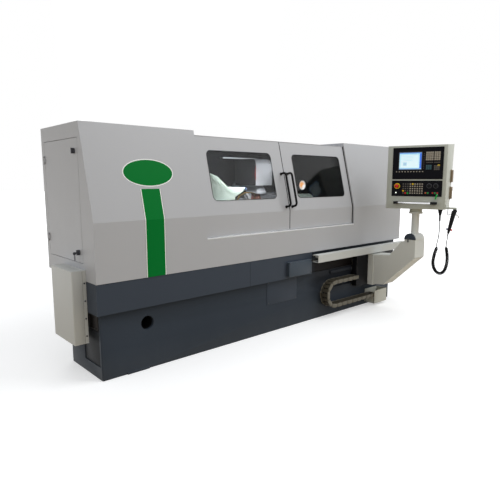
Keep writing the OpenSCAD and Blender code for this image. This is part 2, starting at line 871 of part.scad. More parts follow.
// place of the workhead's front face, of its chuck, and of the tailstock
head_l = 340;
head_x = table_x0 + head_l;
chuck_x = head_x + 142;
chuck_r = 118;
tail_l = 220;
tail_x1 = table_x1 - 20;
tail_x0 = tail_x1 - tail_l;
// left and right end of the tube light, and place of the round lamp
lamp_xs = [-140, 320, 713];
// hood over the wheel guard
hood = [-100, 120, centre_h + 170, centre_h + 425];
hood_y0 = wheel_y - 245;
hood_y1 = wheel_y + 60;
hood_r = 55;

module work_table() {
  color(steel)
    difference() {
      box(table_x0, table_x1, table_y0, table_y1, table_z, table_top);
      // clamping slots, wider below
      for (y = [work_y - 120, work_y + 90]) {
        box(table_x0 - 1, table_x1 + 1, y, y + slot_w, table_top - slot_d, table_top + 1);
        box(table_x0 - 1, table_x1 + 1, y - 6, y + slot_w + 6, table_top - slot_d - 12,
          table_top - slot_d);
      }
      // oil groove along the front
      box(table_x0 + 20, table_x1 - 20, table_y0 + 12, table_y0 + 24, table_top - 6,
        table_top + 1);
    }
}

// stepped housing: tall at the back, sloping down to a long nose over the chuck
module workhead() {
  x = head_x;
  color(pale_green)
    difference() {
      union() {
        box(x - 320, x + 40, work_y - 160, work_y + 150, table_top, table_top + 70);
        along_y(work_y - 92, work_y + 130)
          polygon([[x - 315, table_top + 69], [x - 315, centre_h + 262], [x - 300, centre_h + 277],
            [x - 273, centre_h + 277], [x - 191, centre_h + 249], [x - 83, centre_h + 160],
            [x + 118, centre_h + 154], [x + 135, centre_h + 142], [x + 12, centre_h + 72],
            [x, centre_h + 50], [x, table_top + 69]]);
      }
      rod_x(x - 316, x + 60, work_y, centre_h, spindle_r + fit);
    }
}

// spindle with a chuck, its jaws and the centre
module work_spindle() {
  color(steel) {
    rod_x(head_x - 318, chuck_x + 1, work_y, centre_h, spindle_r);
    translate([chuck_x, work_y, centre_h])
      rotate([0, 90, 0]) {
        rotate_extrude()
          polygon([[0, 0], [chuck_r - 22, 0], [chuck_r - 22, 8], [chuck_r, 8], [chuck_r, 34],
            [chuck_r - 5, 39], [34, 39], [34, 47], [0, 47]]);
        cylinder(r = 22, h = 56);
        translate([0, 0, 55]) cylinder(r1 = 22, r2 = 1, h = 38);
        for (a = [30, 150, 270])
          rotate([0, 0, a]) translate([52, -13, 38]) cube([50, 26, 24]);
      }
  }
}

module tailstock() {
  x0 = tail_x0;
  x1 = tail_x1;
  color(pale_green)
    difference() {
      union() {
        box(x0, x1, work_y - 140, work_y + 130, table_top, table_top + 60);
        along_x(x0 + 20, x1 - 20)
          polygon([[work_y - 100, table_top + 59], [work_y - 76, centre_h - 90],
            [work_y - 76, centre_h + 20], [work_y + 76, centre_h + 20],
            [work_y + 76, centre_h - 90], [work_y + 100, table_top + 59]]);
        // round barrel over the quill
        rod_x(x0 + 10, x1 - 10, work_y, centre_h, 80);
      }
      rod_x(x0 + 9, x1 - 9, work_y, centre_h, quill_r + fit);
    }
}

module tailstock_quill() {
  color(steel) {
    rod_x(tail_x0 - 60, tail_x1 + 20, work_y, centre_h, quill_r);
    translate([tail_x0 - 100, work_y, centre_h]) rotate([0, 90, 0])
      cylinder(r1 = 1, r2 = 24, h = 41);
  }
}

// casting that carries the wheel spindle, on the cross ways
module wheelhead() {
  x0 = wheelhead_x0;
  x1 = wheelhead_x1;
  color([0.42, 0.44, 0.46])
    difference() {
      union() {
        box(x0, x1, wheel_y - 35, rear_y - 28, table_z, table_z + 90);
        along_x(x0 + 10, x1 - 10)
          polygon([[wheel_y - 30, table_z + 89], [wheel_y - 10, centre_h - 80],
            [wheel_y - 10, centre_h + 60], [wheel_y + 20, centre_h + 90],
            [rear_y - 60, centre_h + 90], [rear_y - 35, centre_h + 60],
            [rear_y - 35, table_z + 89]]);
        rod_x(x0 - 20, x1 + 10, wheel_y, centre_h, 95);
      }
      rod_x(x0 - 21, x1 + 11, wheel_y, centre_h, wheel_bore_r + fit);
    }
}

module grinding_wheel() {
  color([0.55, 0.33, 0.28])
    rod_x(-wheel_w / 2, wheel_w / 2, wheel_y, centre_h, wheel_r);
  color(steel) {
    rod_x(wheel_w / 2 - 1, wheelhead_x1 + 20, wheel_y, centre_h, wheel_bore_r);
    rod_x(-wheel_w / 2 - 14, -wheel_w / 2 + 1, wheel_y, centre_h, 70);
  }
}

// section of the hood with a round front corner, shrunk by a margin
module hood_section(m) {
  r = hood_r;
  translate([hood_y0 + m, hood[2] + m])
    square([hood_y1 - hood_y0 - 2 * m, hood[3] - hood[2] - r - m]);
  translate([hood_y0 + r, hood[2] + m])
    square([hood_y1 - hood_y0 - r - m, hood[3] - hood[2] - 2 * m]);
  translate([hood_y0 + r, hood[3] - r]) circle(r - m);
}

// shell over the rear and top of the wheel, open towards the work, under a wide hood
module wheel_guard() {
  w = guard_wall;
  color([0.45, 0.47, 0.49]) {
    difference() {
      rod_x(-guard_x, guard_x + 20, wheel_y, centre_h, guard_r);
      rod_x(-guard_x + w, guard_x + 20 - w, wheel_y, centre_h, guard_r - w);
      // mouth
      box(-guard_x - 1, guard_x + 21, wheel_y - guard_r - 1, wheel_y - 110,
        centre_h - guard_r - 1, centre_h + 90);
      // way for the spindle
      rod_x(guard_x, guard_x + 21, wheel_y, centre_h, wheel_bore_r + 29);
      // room for the flange
      rod_x(-guard_x - 1, -guard_x + w + 1, wheel_y, centre_h, 80);
    }
    difference() {
      along_x(hood[0], hood[1]) hood_section(0);
      along_x(hood[0] + w, hood[1] - w) hood_section(w);
      // the wheel stands up into the hood
      rod_x(-guard_x + w, guard_x + 20 - w, wheel_y, centre_h, guard_r - w);
    }
    // bracket that holds the guard on the wheelhead
    box(guard_x + 19, wheelhead_x0 + 10, wheel_y + 110, wheel_y + 200, centre_h - 60,
      centre_h + 60);
  }
  // coolant nozzle
  color([0.72, 0.55, 0.25]) {
    translate([0, wheel_y - 156, centre_h + wheel_r - 38]) cylinder(r = 11, h = 60);
    box(-14, 14, wheel_y - 172, wheel_y - 140, centre_h + wheel_r - 50, centre_h + wheel_r - 36);
  }
}

// ---------- pendant arm ----------

arm_front = post_y - 63;
arm_screws = [0.06, 0.36, 0.66, 0.92];
arm_top = 772;
arm_nose = 612;
arm_heel = [carriage_y0 - 195, carriage_z0 + 20];
arm_wall = 5;
arm_outline = [[carriage_y0, carriage_z0], arm_heel, [arm_front, arm_nose], [arm_front, arm_top],
  [post_y + 92, arm_top], [arm_heel[0] - 60, carriage_z1 + 18], [carriage_y0, carriage_z1]];

module pendant_arm() {
  color(beige_grey) {
    difference() {
      union() {
        along_x(arm_x0, arm_x1) polygon(arm_outline);
        // collar where the arm meets the carriage
        box(arm_x0 - 5, arm_x1 + 5, carriage_y0 - 65, carriage_y0 + 1, carriage_z0 - 4,
          carriage_z1 + 4);
        // cradle under the knuckle
        box(arm_x0, arm_x1, post_y - 60, post_y + 60, arm_top - 1, knuckle_z - 3);
      }
      along_x(arm_x0 + arm_wall, arm_x1 - arm_wall) offset(delta = -arm_wall) polygon(arm_outline);
      rod_x(arm_x0 + 12, arm_x1 + 1, post_y, knuckle_z, knuckle_r + pass);
    }
    // floor of the cradle
    difference() {
      box(arm_x0 + arm_wall, arm_x1 - arm_wall, post_y - 60, post_y + 60, arm_top - 42,
        arm_top - arm_wall);
      rod_x(arm_x0, arm_x1 + 1, post_y, knuckle_z, knuckle_r + pass);
    }
    // screws along the sloping underside
    for (t = arm_screws)
      rod_x(arm_x0 - 2, arm_x0 + 1, arm_heel[0] + t * (arm_front - arm_heel[0]) + 10,
        arm_heel[1] + t * (arm_nose - arm_heel[1]) + 16, 5);
  }
  // carriage on the guide bars
  color(slate)
    box(carriage_x0, arm_x1, carriage_y0, plinth_y0 - guide_t - pass, carriage_z0,
      carriage_z1 - 1);
  // half-round cap on the left of the knuckle
  color(slate)
    intersection() {
      rod_x(arm_x0 - 2, arm_x0 + 10, post_y, knuckle_z, cap_r);
      box(arm_x0 - 3, arm_x0 + 11, post_y - 70, post_y + 70, knuckle_z - 3, knuckle_z + 70);
    }
}

module clamp_lever() {
  x0 = arm_x0 - 2 - pass;
  color(black) {
    rod_x(x0 - 16, x0, post_y + 14, knuckle_z + 6, 9);
    translate([x0 - 8, post_y + 14, arm_top]) cylinder(r1 = 7, r2 = 5, h = knuckle_z - arm_top + 6);
  }
}

module pendant_post() {
  color(beige_grey) {
    rod_x(arm_x0 + 12, arm_x1, post_y, knuckle_z, knuckle_r);
    translate([post_x, post_y, knuckle_z]) cylinder(r = post_r, h = post_top - knuckle_z);
    translate([post_x, post_y, post_top]) cylinder(r = swivel_r, h = swivel_z - post_top);
  }
}

// ---------- pendant ----------

module pendant_housing() {
  x1 = house_x1;
  inset = 13.5;
  outer = [[house_y0, house_z0], [house_y0, house_z1],
    [house_y0 + house_d_top, house_z1 + house_rise], [house_y0 + house_d_low, house_z0]];
  rear_lean = (house_d_top - house_d_low) / (house_z1 + house_rise - house_z0);
  cover = [for (p = [[-8, 34], [3, 34], [3, 600], [-8, 600]])
    [house_y0 + house_d_low + rear_lean * p[1] + p[0], house_z0 + p[1]]];
  color(beige_grey)
    in_pendant() {
      difference() {
        union() {
          along_x(house_x0, x1) polygon(outer);
          // raised service cover on the rear
          along_x(house_x0 + 26, x1 - 26) polygon(cover);
        }
        along_x(house_x0 + house_wall, x1 - house_wall) offset(delta = -house_wall)
          polygon(outer);
        // openings behind the two panels
        for (panel = [[upper_z, upper_h], [lower_z, lower_h]])
          box(panel_x - panel_w / 2 + inset, panel_x + panel_w / 2 - inset, house_y0 - 1,
            house_y0 + house_wall + 1, panel[0] + inset, panel[0] + panel[1] - inset);
      }
      // swivel collar
      translate([0, 0, swivel_z + pass]) cylinder(r = swivel_r - 5, h = house_z0 - swivel_z);
    }
}

// two connector hoods on the right side
module service_connectors() {
  x1 = house_x1;
  color([0.45, 0.38, 0.30])
    in_pendant()
      for (z = [house_z0 + 94, house_z0 + 261]) {
        along_x(x1, x1 + 6) round_rect(86, 150, z, z + 130, 14);
        along_x(x1 + 5, x1 + 20) round_rect(91, 145, z + 5, z + 125, 10);
      }
}

// grid of rectangular keys in the (X, Z) plane
module key_field(field, base) {
  for (i = [0:field[2] - 1])
    for (j = [0:field[3] - 1])
      translate([field[0] + i * field[4], base + field[1] + j * field[5]])
        square([field[6], field[7]]);
}

// electronics behind a panel
module panel_block(base, height, depth) {
  box(-panel_w / 2 + 21.5, panel_w / 2 - 21.5, house_y0 - 1, house_y0 + depth, base + 20,
    base + height - 20);
}

module operator_panel() {
  color(black)
    in_pendant()
      translate([panel_x, 0, 0]) {
        difference() {
          along_y(house_y0 - panel_t, house_y0)
            round_rect(-panel_w / 2, panel_w / 2, upper_z, upper_z + upper_h, panel_r);
          // recess over the screen
          box(screen[0], screen[1], house_y0 - panel_t - 1, house_y0 - panel_t + 1.5,
            upper_z + screen[2], upper_z + screen[3]);
        }
        panel_block(upper_z, upper_h, 60);
        along_y(house_y0 - panel_t - key_t, house_y0 - panel_t)
          for (field = upper_keys) key_field(field, upper_z);
      }
}

module control_panel() {
  y1 = house_y0 - panel_t;
  color(black)
    in_pendant()
      translate([panel_x, 0, 0])
        difference() {
          union() {
            along_y(y1, house_y0)
              round_rect(-panel_w / 2, panel_w / 2, lower_z, lower_z + lower_h, panel_r);
            panel_block(lower_z, lower_h, 40);
            along_y(y1 - key_t, y1)
              for (field = machine_keys) key_field(field, lower_z);
            // collars of the stop button, knobs and push buttons
            rod_y(y1 - 5, y1, stop_x, stop_z, 27);
            for (x = knob_xs)
              rod_y(y1 - 1.5, y1, x, knob_z, 24);
            for (x = button_xs)
              rod_y(y1 - 2, y1, x, button_z, button_r + 3);
            // lamp below the stop button
            rod_y(y1 - 5, y1, stop_x - 10, button_z, 6);
          }
          rod_y(y1 - 6, house_y0 + 25, stop_x, stop_z, 11 + fit);
          for (x = knob_xs)
            rod_y(y1 - 6, house_y0 + 20, x, knob_z, 5 + fit);
          for (x = button_xs)
            rod_y(y1 - 6, house_y0 + 20, x, button_z, button_r + fit);
          rod_y(y1 - 6, house_y0 + 20, key_x, key_z, 6 + fit);
        }
}

// a round control on the lower panel, drawn at its own place
module at_panel(x, z) {
  in_pendant() translate([panel_x + x, house_y0 - panel_t, z]) children();
}

module stop_button() {
  color([0.80, 0.08, 0.08])
    at_panel(stop_x, stop_z) {
      rod_y(-24, 12, 0, 0, 11);
      rod_y(-34, -20, 0, 0, stop_r);
    }
}

module override_knob(x) {
  color(black)
    at_panel(x, knob_z) {
      rod_y(-8, 12, 0, 0, 5);
      rod_y(-22, -4, 0, 0, knob_r);
      // pointer rib
      box(-3, 3, -26, -22, -16, 16);
    }
}

module feed_knob() {
  override_knob(knob_xs[0]);
}

module speed_knob() {
  override_knob(knob_xs[1]);
}

module key_switch() {
  at_panel(key_x, key_z) {
    color(steel) {
      rod_y(-3, 12, 0, 0, 6);
      box(-1, 1, -18, -3, -4, 4);
    }
    color([0.10, 0.45, 0.20]) box(-7, 7, -22, -18, -52, 6);
  }
}

module push_button(i, shade) {
  color(shade)
    at_panel(button_xs[i], button_z) rod_y(-8, 10, 0, 0, button_r);
}

module reset_button() {
  push_button(0, [0.90, 0.45, 0.10]);
}

module feed_start_button() {
  push_button(1, [0.10, 0.60, 0.25]);
}

module feed_stop_button() {
  push_button(2, [0.80, 0.08, 0.08]);
}

module cycle_start_button() {
  push_button(3, [0.10, 0.60, 0.25]);
}

module cycle_stop_button() {
  push_button(4, [0.80, 0.08, 0.08]);
}

// steel tube in two black end brackets
module pendant_handle() {
  z = handle_z;
  y = handle_y;
  blocks = [[-190, -144], [166, 228]];
  in_pendant() {
    color(steel) rod_x(blocks[0][1] - 1, blocks[1][0] + 1, y, z, 9);
    color(black)
      for (b = blocks) {
        box(b[0], b[1], y - 12, y + 12, z - 13, z + 13);
        box(b[0] + 8, b[1] - 8, y + 11, house_y0, z - 11, z + 11);
      }
  }
}

// ---------- handset and cord ----------

module handset() {
  color(black)
    on_handset() {
      difference() {
        union() {
          // grip that narrows towards the cord
          translate([0, 0, 44]) linear_extrude(height = hand_l - 44)
            round_rect(-hand_w / 2, hand_w / 2, -hand_d / 2, hand_d / 2, 9);
          along_y(-hand_d / 2 + 3, hand_d / 2 - 3)
            polygon([[-11, 0], [11, 0], [hand_w / 2, 20], [hand_w / 2, 46], [-hand_w / 2, 46],
              [-hand_w / 2, 20]]);
        }
        // wells of the two side buttons
        rod_x(-hand_w / 2 - 1, -hand_w / 2 + 14, 0, hand_button_z, hand_button_r + fit);
        rod_x(hand_w / 2 - 14, hand_w / 2 + 1, 0, hand_button_z, hand_button_r + fit);
      }
      // ball on its stem at the top
      translate([18, 0, hand_l - 20]) rotate([0, 12, 0]) cylinder(r = 4, h = 26);
      translate([22, 0, hand_l + 5]) sphere(r = 7);
      // hook on the right side
      along_y(-9, 9)
        polygon([[hand_w / 2 - 1, 200], [52, 184], [60, 170], [60, 158], [54, 158], [53, 168],
          [46, 177], [hand_w / 2 - 1, 184]]);
      // grip ribs on the front
      for (i = [0:4])
        box(-13, 13, -hand_d / 2 - 3, -hand_d / 2 + 1, 82 + i * 17, 91 + i * 17);
    }
}

module handset_stop() {
  color([0.75, 0.06, 0.08])
    on_handset() rod_x(hand_w / 2 - 9, hand_w / 2 + 9, 0, hand_button_z, hand_button_r);
}

module handset_enable() {
  color([0.08, 0.10, 0.35])
    on_handset() rod_x(-hand_w / 2 - 9, -hand_w / 2 + 9, 0, hand_button_z, hand_button_r);
}

// clip that carries the handset beside the pendant
module handset_holder() {
  x1 = house_x1;
  back = cord_y + hand_d / 2 + 0.3;
  color(black)
    in_pendant() {
      // plate on the side of the housing
      box(x1, x1 + 4, cord_y - 20, back + 12, house_z0 + 4, house_z0 + 50);
      // arm from the plate over to the back of the handset
      box(x1 + 3, x1 + 96, back + 4, back + 12, house_z0 + 4, house_z0 + 22);
      // fork behind the handset
      box(x1 + 64, x1 + 96, back, back + 12, house_z0 - 52, house_z0 + 5);
      // hook for the cord
      box(x1 + 14, x1 + 20, back + 4, back + 12, house_z0 - 45, house_z0 + 5);
      along_y(back + 4, back + 12)
        translate([x1 + 28, house_z0 - 44])
          difference() {
            circle(14);
            circle(8);
            translate([-15, 0]) square([30, 15]);
          }
    }
}

module cord_relief() {
  color(black)
    in_pendant()
      translate([relief_x, cord_y, 0]) {
        translate([0, 0, relief_z]) cylinder(r1 = 8, r2 = 9, h = 50);
        translate([0, 0, relief_z + 50]) cylinder(r1 = 9, r2 = 24, h = house_z0 - relief_z - 50);
      }
}

module cord_lead_top() {
  color(black) in_pendant() translate([0, cord_y, 0]) cord_tube(top_route, 4, cord_r);
}

module cord_coil() {
  color(black) in_pendant() translate([0, cord_y, 0]) cord_tube(coil_route, 3, coil_r);
}

module cord_lead_end() {
  color(black) in_pendant() translate([0, cord_y, 0]) cord_tube(end_route, 3, cord_r);
}

machine_bed();
front_skirt();
base_covers();
left_front_panel();
left_end_panel();
right_front_panel();
right_end_panel();
roof_panel();
rear_panel();
front_apron();
chamber_walls();
junction_box();
junction_box_lid();
cover_screws();
work_lights();
slide_rail();
chain_end_box();
drag_chain();
left_door();
left_window();
left_door_handle();
right_door();
right_window();
right_door_handle();
access_door();
upper_lock();
lower_lock();
work_table();
workhead();
work_spindle();
tailstock();
tailstock_quill();
wheelhead();
grinding_wheel();
wheel_guard();
pendant_arm();
clamp_lever();
pendant_post();
pendant_housing();
service_connectors();
operator_panel();
control_panel();
stop_button();
feed_knob();
speed_knob();
key_switch();
reset_button();
feed_start_button();
feed_stop_button();
cycle_start_button();
cycle_stop_button();
pendant_handle();
handset();
handset_stop();
handset_enable();
handset_holder();
cord_relief();
cord_lead_top();
cord_coil();
cord_lead_end();
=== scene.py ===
"""The looks of an enclosed thread grinding machine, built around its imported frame."""

import logging
import math
from contextlib import contextmanager
from dataclasses import dataclass, field
from enum import Enum
from typing import Callable, Iterator, Sequence

import bmesh
import bpy
from mathutils import Matrix, Vector


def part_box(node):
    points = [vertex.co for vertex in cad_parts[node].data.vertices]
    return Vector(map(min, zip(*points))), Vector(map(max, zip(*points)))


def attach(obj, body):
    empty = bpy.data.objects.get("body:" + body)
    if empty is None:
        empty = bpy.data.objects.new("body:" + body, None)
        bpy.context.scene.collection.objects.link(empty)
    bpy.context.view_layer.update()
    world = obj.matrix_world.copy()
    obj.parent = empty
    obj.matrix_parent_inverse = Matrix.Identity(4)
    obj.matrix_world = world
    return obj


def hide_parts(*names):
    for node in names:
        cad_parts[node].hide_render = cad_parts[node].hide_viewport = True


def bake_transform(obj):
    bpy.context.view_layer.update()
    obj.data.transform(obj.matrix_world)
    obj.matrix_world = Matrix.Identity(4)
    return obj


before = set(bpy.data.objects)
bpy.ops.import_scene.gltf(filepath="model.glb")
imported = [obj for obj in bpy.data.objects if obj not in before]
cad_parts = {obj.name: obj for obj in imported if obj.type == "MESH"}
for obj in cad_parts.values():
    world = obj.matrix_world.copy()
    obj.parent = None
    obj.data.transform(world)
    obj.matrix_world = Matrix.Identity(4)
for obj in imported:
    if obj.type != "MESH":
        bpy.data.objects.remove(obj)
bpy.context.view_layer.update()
LOG = logging.getLogger("grinder")
HERE = Matrix.Identity(4)
WELD = 1e-6
ALIKE = 1e-7
Pair = tuple[float, float]
Point = tuple[float, float, float]
Colour = tuple[float, float, float, float]
Obj = bpy.types.Object


def srgb(red: int, green: int, blue: int) -> Colour:
    """Turn a screen colour into the linear one that shaders take."""
    def linear(value: int) -> float:
        """Linear value of one channel."""
        share = value / 255
        return share / 12.92 if share <= 0.04045 else ((share + 0.055) / 1.055) ** 2.4
    return linear(red), linear(green), linear(blue), 1.0


def moved(x: float, y: float, z: float) -> Matrix:
    """A shift along the three axes."""
    return Matrix.Translation((x, y, z))


def spun(degrees: float, axis: str) -> Matrix:
    """A turn about one axis through the origin."""
    return Matrix.Rotation(math.radians(degrees), 4, axis)


def box_of(node: str) -> tuple[Vector, Vector]:
    """The corners of a CAD node as vectors."""
    low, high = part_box(node)
    return Vector(low), Vector(high)


# ---------- shader maths ----------


class Wire:
    """A shader output that takes part in Python arithmetic."""

    def __init__(self, graph: "Graph", socket: bpy.types.NodeSocket) -> None:
        """Keep the graph that the socket belongs to."""
        self.graph = graph
        self.socket = socket

    def __add__(self, other: "Wire | float") -> "Wire":
        """Sum of two values."""
        return self.graph.maths("ADD", self, other)

    def __radd__(self, other: float) -> "Wire":
        """Sum with a number on the left."""
        return self.graph.maths("ADD", other, self)

    def __sub__(self, other: "Wire | float") -> "Wire":
        """Difference of two values."""
        return self.graph.maths("SUBTRACT", self, other)

    def __rsub__(self, other: float) -> "Wire":
        """Difference with a number on the left."""
        return self.graph.maths("SUBTRACT", other, self)

    def __mul__(self, other: "Wire | float") -> "Wire":
        """Product of two values."""
        return self.graph.maths("MULTIPLY", self, other)

    def __rmul__(self, other: float) -> "Wire":
        """Product with a number on the left."""
        return self.graph.maths("MULTIPLY", other, self)

    def __gt__(self, other: "Wire | float") -> "Wire":
        """One where this value is larger, and nought elsewhere."""
        return self.graph.maths("GREATER_THAN", self, other)

    def __lt__(self, other: "Wire | float") -> "Wire":
        """One where this value is smaller, and nought elsewhere."""
        return self.graph.maths("LESS_THAN", self, other)

    def fraction(self) -> "Wire":
        """The part of the value after the decimal point."""
        return self.graph.maths("FRACT", self)


class Graph:
    """The node tree of a material or of the world."""

    def __init__(self, owner: bpy.types.Material | bpy.types.World) -> None:
        """Start an empty tree with its output, and with one shader in a material's.

        Args:
            owner: the material or the world.
        """
        owner.use_nodes = True
        self.tree = owner.node_tree
        self.tree.nodes.clear()
        if isinstance(owner, bpy.types.World):
            self.output = self.tree.nodes.new("ShaderNodeOutputWorld")
            return
        self.output = self.tree.nodes.new("ShaderNodeOutputMaterial")
        self.shader = self.tree.nodes.new("ShaderNodeBsdfPrincipled")
        self.tree.links.new(self.shader.outputs[0], self.output.inputs["Surface"])

    def node(self, kind: str, inputs: dict[str | int, object] | None = None,
             output: str | int = 0, **settings: object) -> Wire:
        """Add one node.

        Args:
            kind: the node's type.
            inputs: values or wires for its sockets.
            output: the socket to read.
            settings: properties, set before the sockets.

        Returns:
            The chosen output.
        """
        made = self.tree.nodes.new(kind)
        for key, value in settings.items():
            setattr(made, key, value)
        for key, value in (inputs or {}).items():
            self.feed(made.inputs[key], value)
        return Wire(self, made.outputs[output])

    def feed(self, socket: bpy.types.NodeSocket, value: object) -> None:
        """Link a wire to a socket, or set the socket's own value."""
        if isinstance(value, Wire):
            self.tree.links.new(value.socket, socket)
        else:
            socket.default_value = value

    def maths(self, operation: str, *values: Wire | float) -> Wire:
        """Add a Math node for some values."""
        return self.node("ShaderNodeMath", dict(enumerate(values)), operation=operation)

    def clamp(self, value: Wire) -> Wire:
        """A value held between nought and one."""
        return self.maths("MINIMUM", self.maths("MAXIMUM", value, 0.0), 1.0)

    def blend(self, factor: Wire | float, first: object, second: object) -> Wire:
        """Mix two colours by a factor."""
        return self.node("ShaderNodeMix", {0: factor, 6: first, 7: second}, 2, data_type="RGBA")

    def noise(self, scale: float, detail: float = 2.0, stretch: Point = (1, 1, 1)) -> Wire:
        """Noise on Object coordinates.

        Args:
            scale: features per metre.
            detail: number of finer layers.
            stretch: how much each axis is squeezed.

        Returns:
            The noise value, about 0 to 1.
        """
        place = self.node("ShaderNodeTexCoord", output="Object")
        place = self.node("ShaderNodeMapping", {"Vector": place, "Scale": stretch})
        return self.node("ShaderNodeTexNoise", {
            "Vector": place, "Scale": scale, "Detail": detail}, "Fac")

    def axes(self, source: str = "Object") -> tuple[Wire, ...]:
        """The three parts of a coordinate."""
        place = self.node("ShaderNodeTexCoord", output=source)
        parts = self.node("ShaderNodeSeparateXYZ", {0: place}).socket.node
        return tuple(Wire(self, socket) for socket in parts.outputs)

    def backdrop(self) -> Wire:
        """One for the rays that see a white surround, nought for the ones that light."""
        seen, glossy, through = (self.node("ShaderNodeLightPath", output=f"Is {ray} Ray")
                                 for ray in ("Camera", "Glossy", "Transmission"))
        return self.maths("MAXIMUM", self.maths("MAXIMUM", seen, glossy), through)

    def set(self, **values: object) -> None:
        """Set sockets of the shader, with words joined by underscores."""
        for key, value in values.items():
            self.feed(self.shader.inputs[key.replace("_", " ")], value)

    def bump(self, height: Wire, strength: float, distance: float) -> None:
        """Feed a height to the shader's normal."""
        self.set(Normal=self.node("ShaderNodeBump", {
            "Strength": strength, "Distance": distance, "Height": height}, "Normal"))

    def glow(self, colour: Wire, roughness: float, strength: float) -> None:
        """Show one colour and give it off as light."""
        self.set(Base_Color=colour, Emission_Color=colour, Roughness=roughness,
                 Emission_Strength=strength)


# ---------- finishes ----------


@dataclass(frozen=True)
class Finish:
    """A surface finish with its name, its colour and a slot name."""

    name: str
    colour: Colour
    slot: str

    def material(self) -> bpy.types.Material:
        """The material of this name: one that is there already, or a new one."""
        found = bpy.data.materials.get(self.name)
        if found is None:
            found = bpy.data.materials.new(self.name)
            self.build(Graph(found))
        return found

    def build(self, graph: Graph) -> None:
        """Lay out the material's nodes.

        Args:
            graph: the material's tree.
        """
        raise NotImplementedError

    def shade(self, factor: float) -> Colour:
        """The colour times a factor."""
        red, green, blue, alpha = self.colour
        return red * factor, green * factor, blue * factor, alpha


@dataclass(frozen=True)
class Coating(Finish):
    """Sprayed paint or powder coat, with its orange peel and faint handling marks."""

    roughness: float = 0.4
    grain: float = 420.0
    grain_depth: float = 0.0006
    cloud: float = 0.05
    gloss_spread: float = 0.12
    floor_dust: float = 0.0
    specular: float = 0.4
    shade_and_oil_from: float = 0.0

    def build(self, graph: Graph) -> None:
        """Mottled colour, uneven gloss and a fine peel.

        Args:
            graph: the material's tree.
        """
        streak = graph.noise(5.0, 4.0, (1.0, 1.0, 0.25))
        marks = graph.noise(1.3, 3.0) * 0.6 + streak * 0.4
        colour = graph.blend(marks, self.shade(1 - self.cloud), self.shade(1 + self.cloud))
        if self.floor_dust:
            low = graph.maths("MAXIMUM", 1 - graph.axes()[2] * 5.0, 0.0)
            colour = graph.blend(low * streak * self.floor_dust, colour, srgb(150, 146, 138))
        # Painted shade of the recess under the rail, with oil: the front goes towards a near-black
        # brown right of where it starts.
        if self.shade_and_oil_from:
            colour = graph.blend(self.oil(graph), colour, srgb(24, 19, 16))
        smear = graph.noise(9.0, 5.0)
        graph.set(Base_Color=colour, Specular_IOR_Level=self.specular,
                  Roughness=self.roughness + (smear - 0.5) * self.gloss_spread)
        graph.bump(graph.noise(self.grain, 2.0), 0.25, self.grain_depth)

    def oil(self, graph: Graph) -> Wire:
        """How dark the front is painted, under the rail and right of where it starts: painted shade of
        the recess there, with oil.
        """
        x, y, z = graph.axes()
        foot, skirt, rail = 0.20, 0.484, 0.61
        right = graph.clamp((x - self.shade_and_oil_from) * 6.0)
        high = graph.clamp((z - foot) * 5.0)
        # Darker still above the skirt's top, where the painted shade under the rail is deepest.
        return right * high * (y < 0.0) * (z < rail) * (0.55 + (z > skirt) * 0.4)


@dataclass(frozen=True)
class Casting(Finish):
    """Paint on rough cast iron, with a coarser skin."""

    roughness: float = 0.45

    def build(self, graph: Graph) -> None:
        """Coarse and fine grain under a thick paint."""
        skin = graph.noise(60.0, 4.0)
        graph.set(Base_Color=graph.blend(graph.noise(2.2, 4.0), self.shade(0.9), self.shade(1.08)),
                  Roughness=self.roughness + (skin - 0.5) * 0.2)
        graph.bump(skin * 0.7 + graph.noise(240.0, 2.0) * 0.3, 0.35, 0.0012)


@dataclass(frozen=True)
class GroundMetal(Finish):
    """Machined metal with fine lines along one axis."""

    roughness: float = 0.28
    stretch: Point = (0.03, 1.0, 1.0)

    def build(self, graph: Graph) -> None:
        """Long fine grinding lines and an oily sheen."""
        lines = graph.noise(900.0, 2.0, self.stretch)
        oil = graph.noise(7.0, 4.0)
        graph.set(Base_Color=graph.blend(oil, self.shade(0.82), self.colour), Metallic=1.0,
                  Roughness=self.roughness + (lines - 0.5) * 0.22 + (oil - 0.5) * 0.1)
        graph.bump(lines, 0.18, 0.0003)


@dataclass(frozen=True)
class Moulding(Finish):
    """Moulded plastic or rubber with a fine spark-eroded texture."""

    roughness: float = 0.42
    grain: float = 1500.0
    specular: float = 0.3

    def build(self, graph: Graph) -> None:
        """Fine leather-like grain and slight fading."""
        fade = graph.noise(14.0, 3.0)
        graph.set(Base_Color=graph.blend(fade, self.shade(0.86), self.shade(1.1)),
                  Roughness=self.roughness + (fade - 0.5) * 0.12,
                  Specular_IOR_Level=self.specular)
        graph.bump(graph.noise(self.grain, 2.0), 0.3, 0.0003)


@dataclass(frozen=True)
class Pane(Finish):
    """Tinted laminated safety glass."""

    clearness: float = 0.72

    def build(self, graph: Graph) -> None:
        """Dark glass that shows the chamber behind its reflections."""
        film = graph.noise(3.0, 5.0, (1.0, 1.0, 0.4))
        graph.set(Base_Color=self.colour, Roughness=0.02 + film * 0.06, IOR=1.5,
                  Alpha=1 - self.clearness + film * 0.05)


@dataclass(frozen=True)
class Glow(Finish):
    """A lit surface of even colour."""

    strength: float = 2.0

    def build(self, graph: Graph) -> None:
        """Light that is a little uneven over the surface."""
        shade = graph.blend(graph.noise(6.0, 2.0), self.shade(0.92), self.colour)
        graph.glow(shade, 0.3, self.strength)


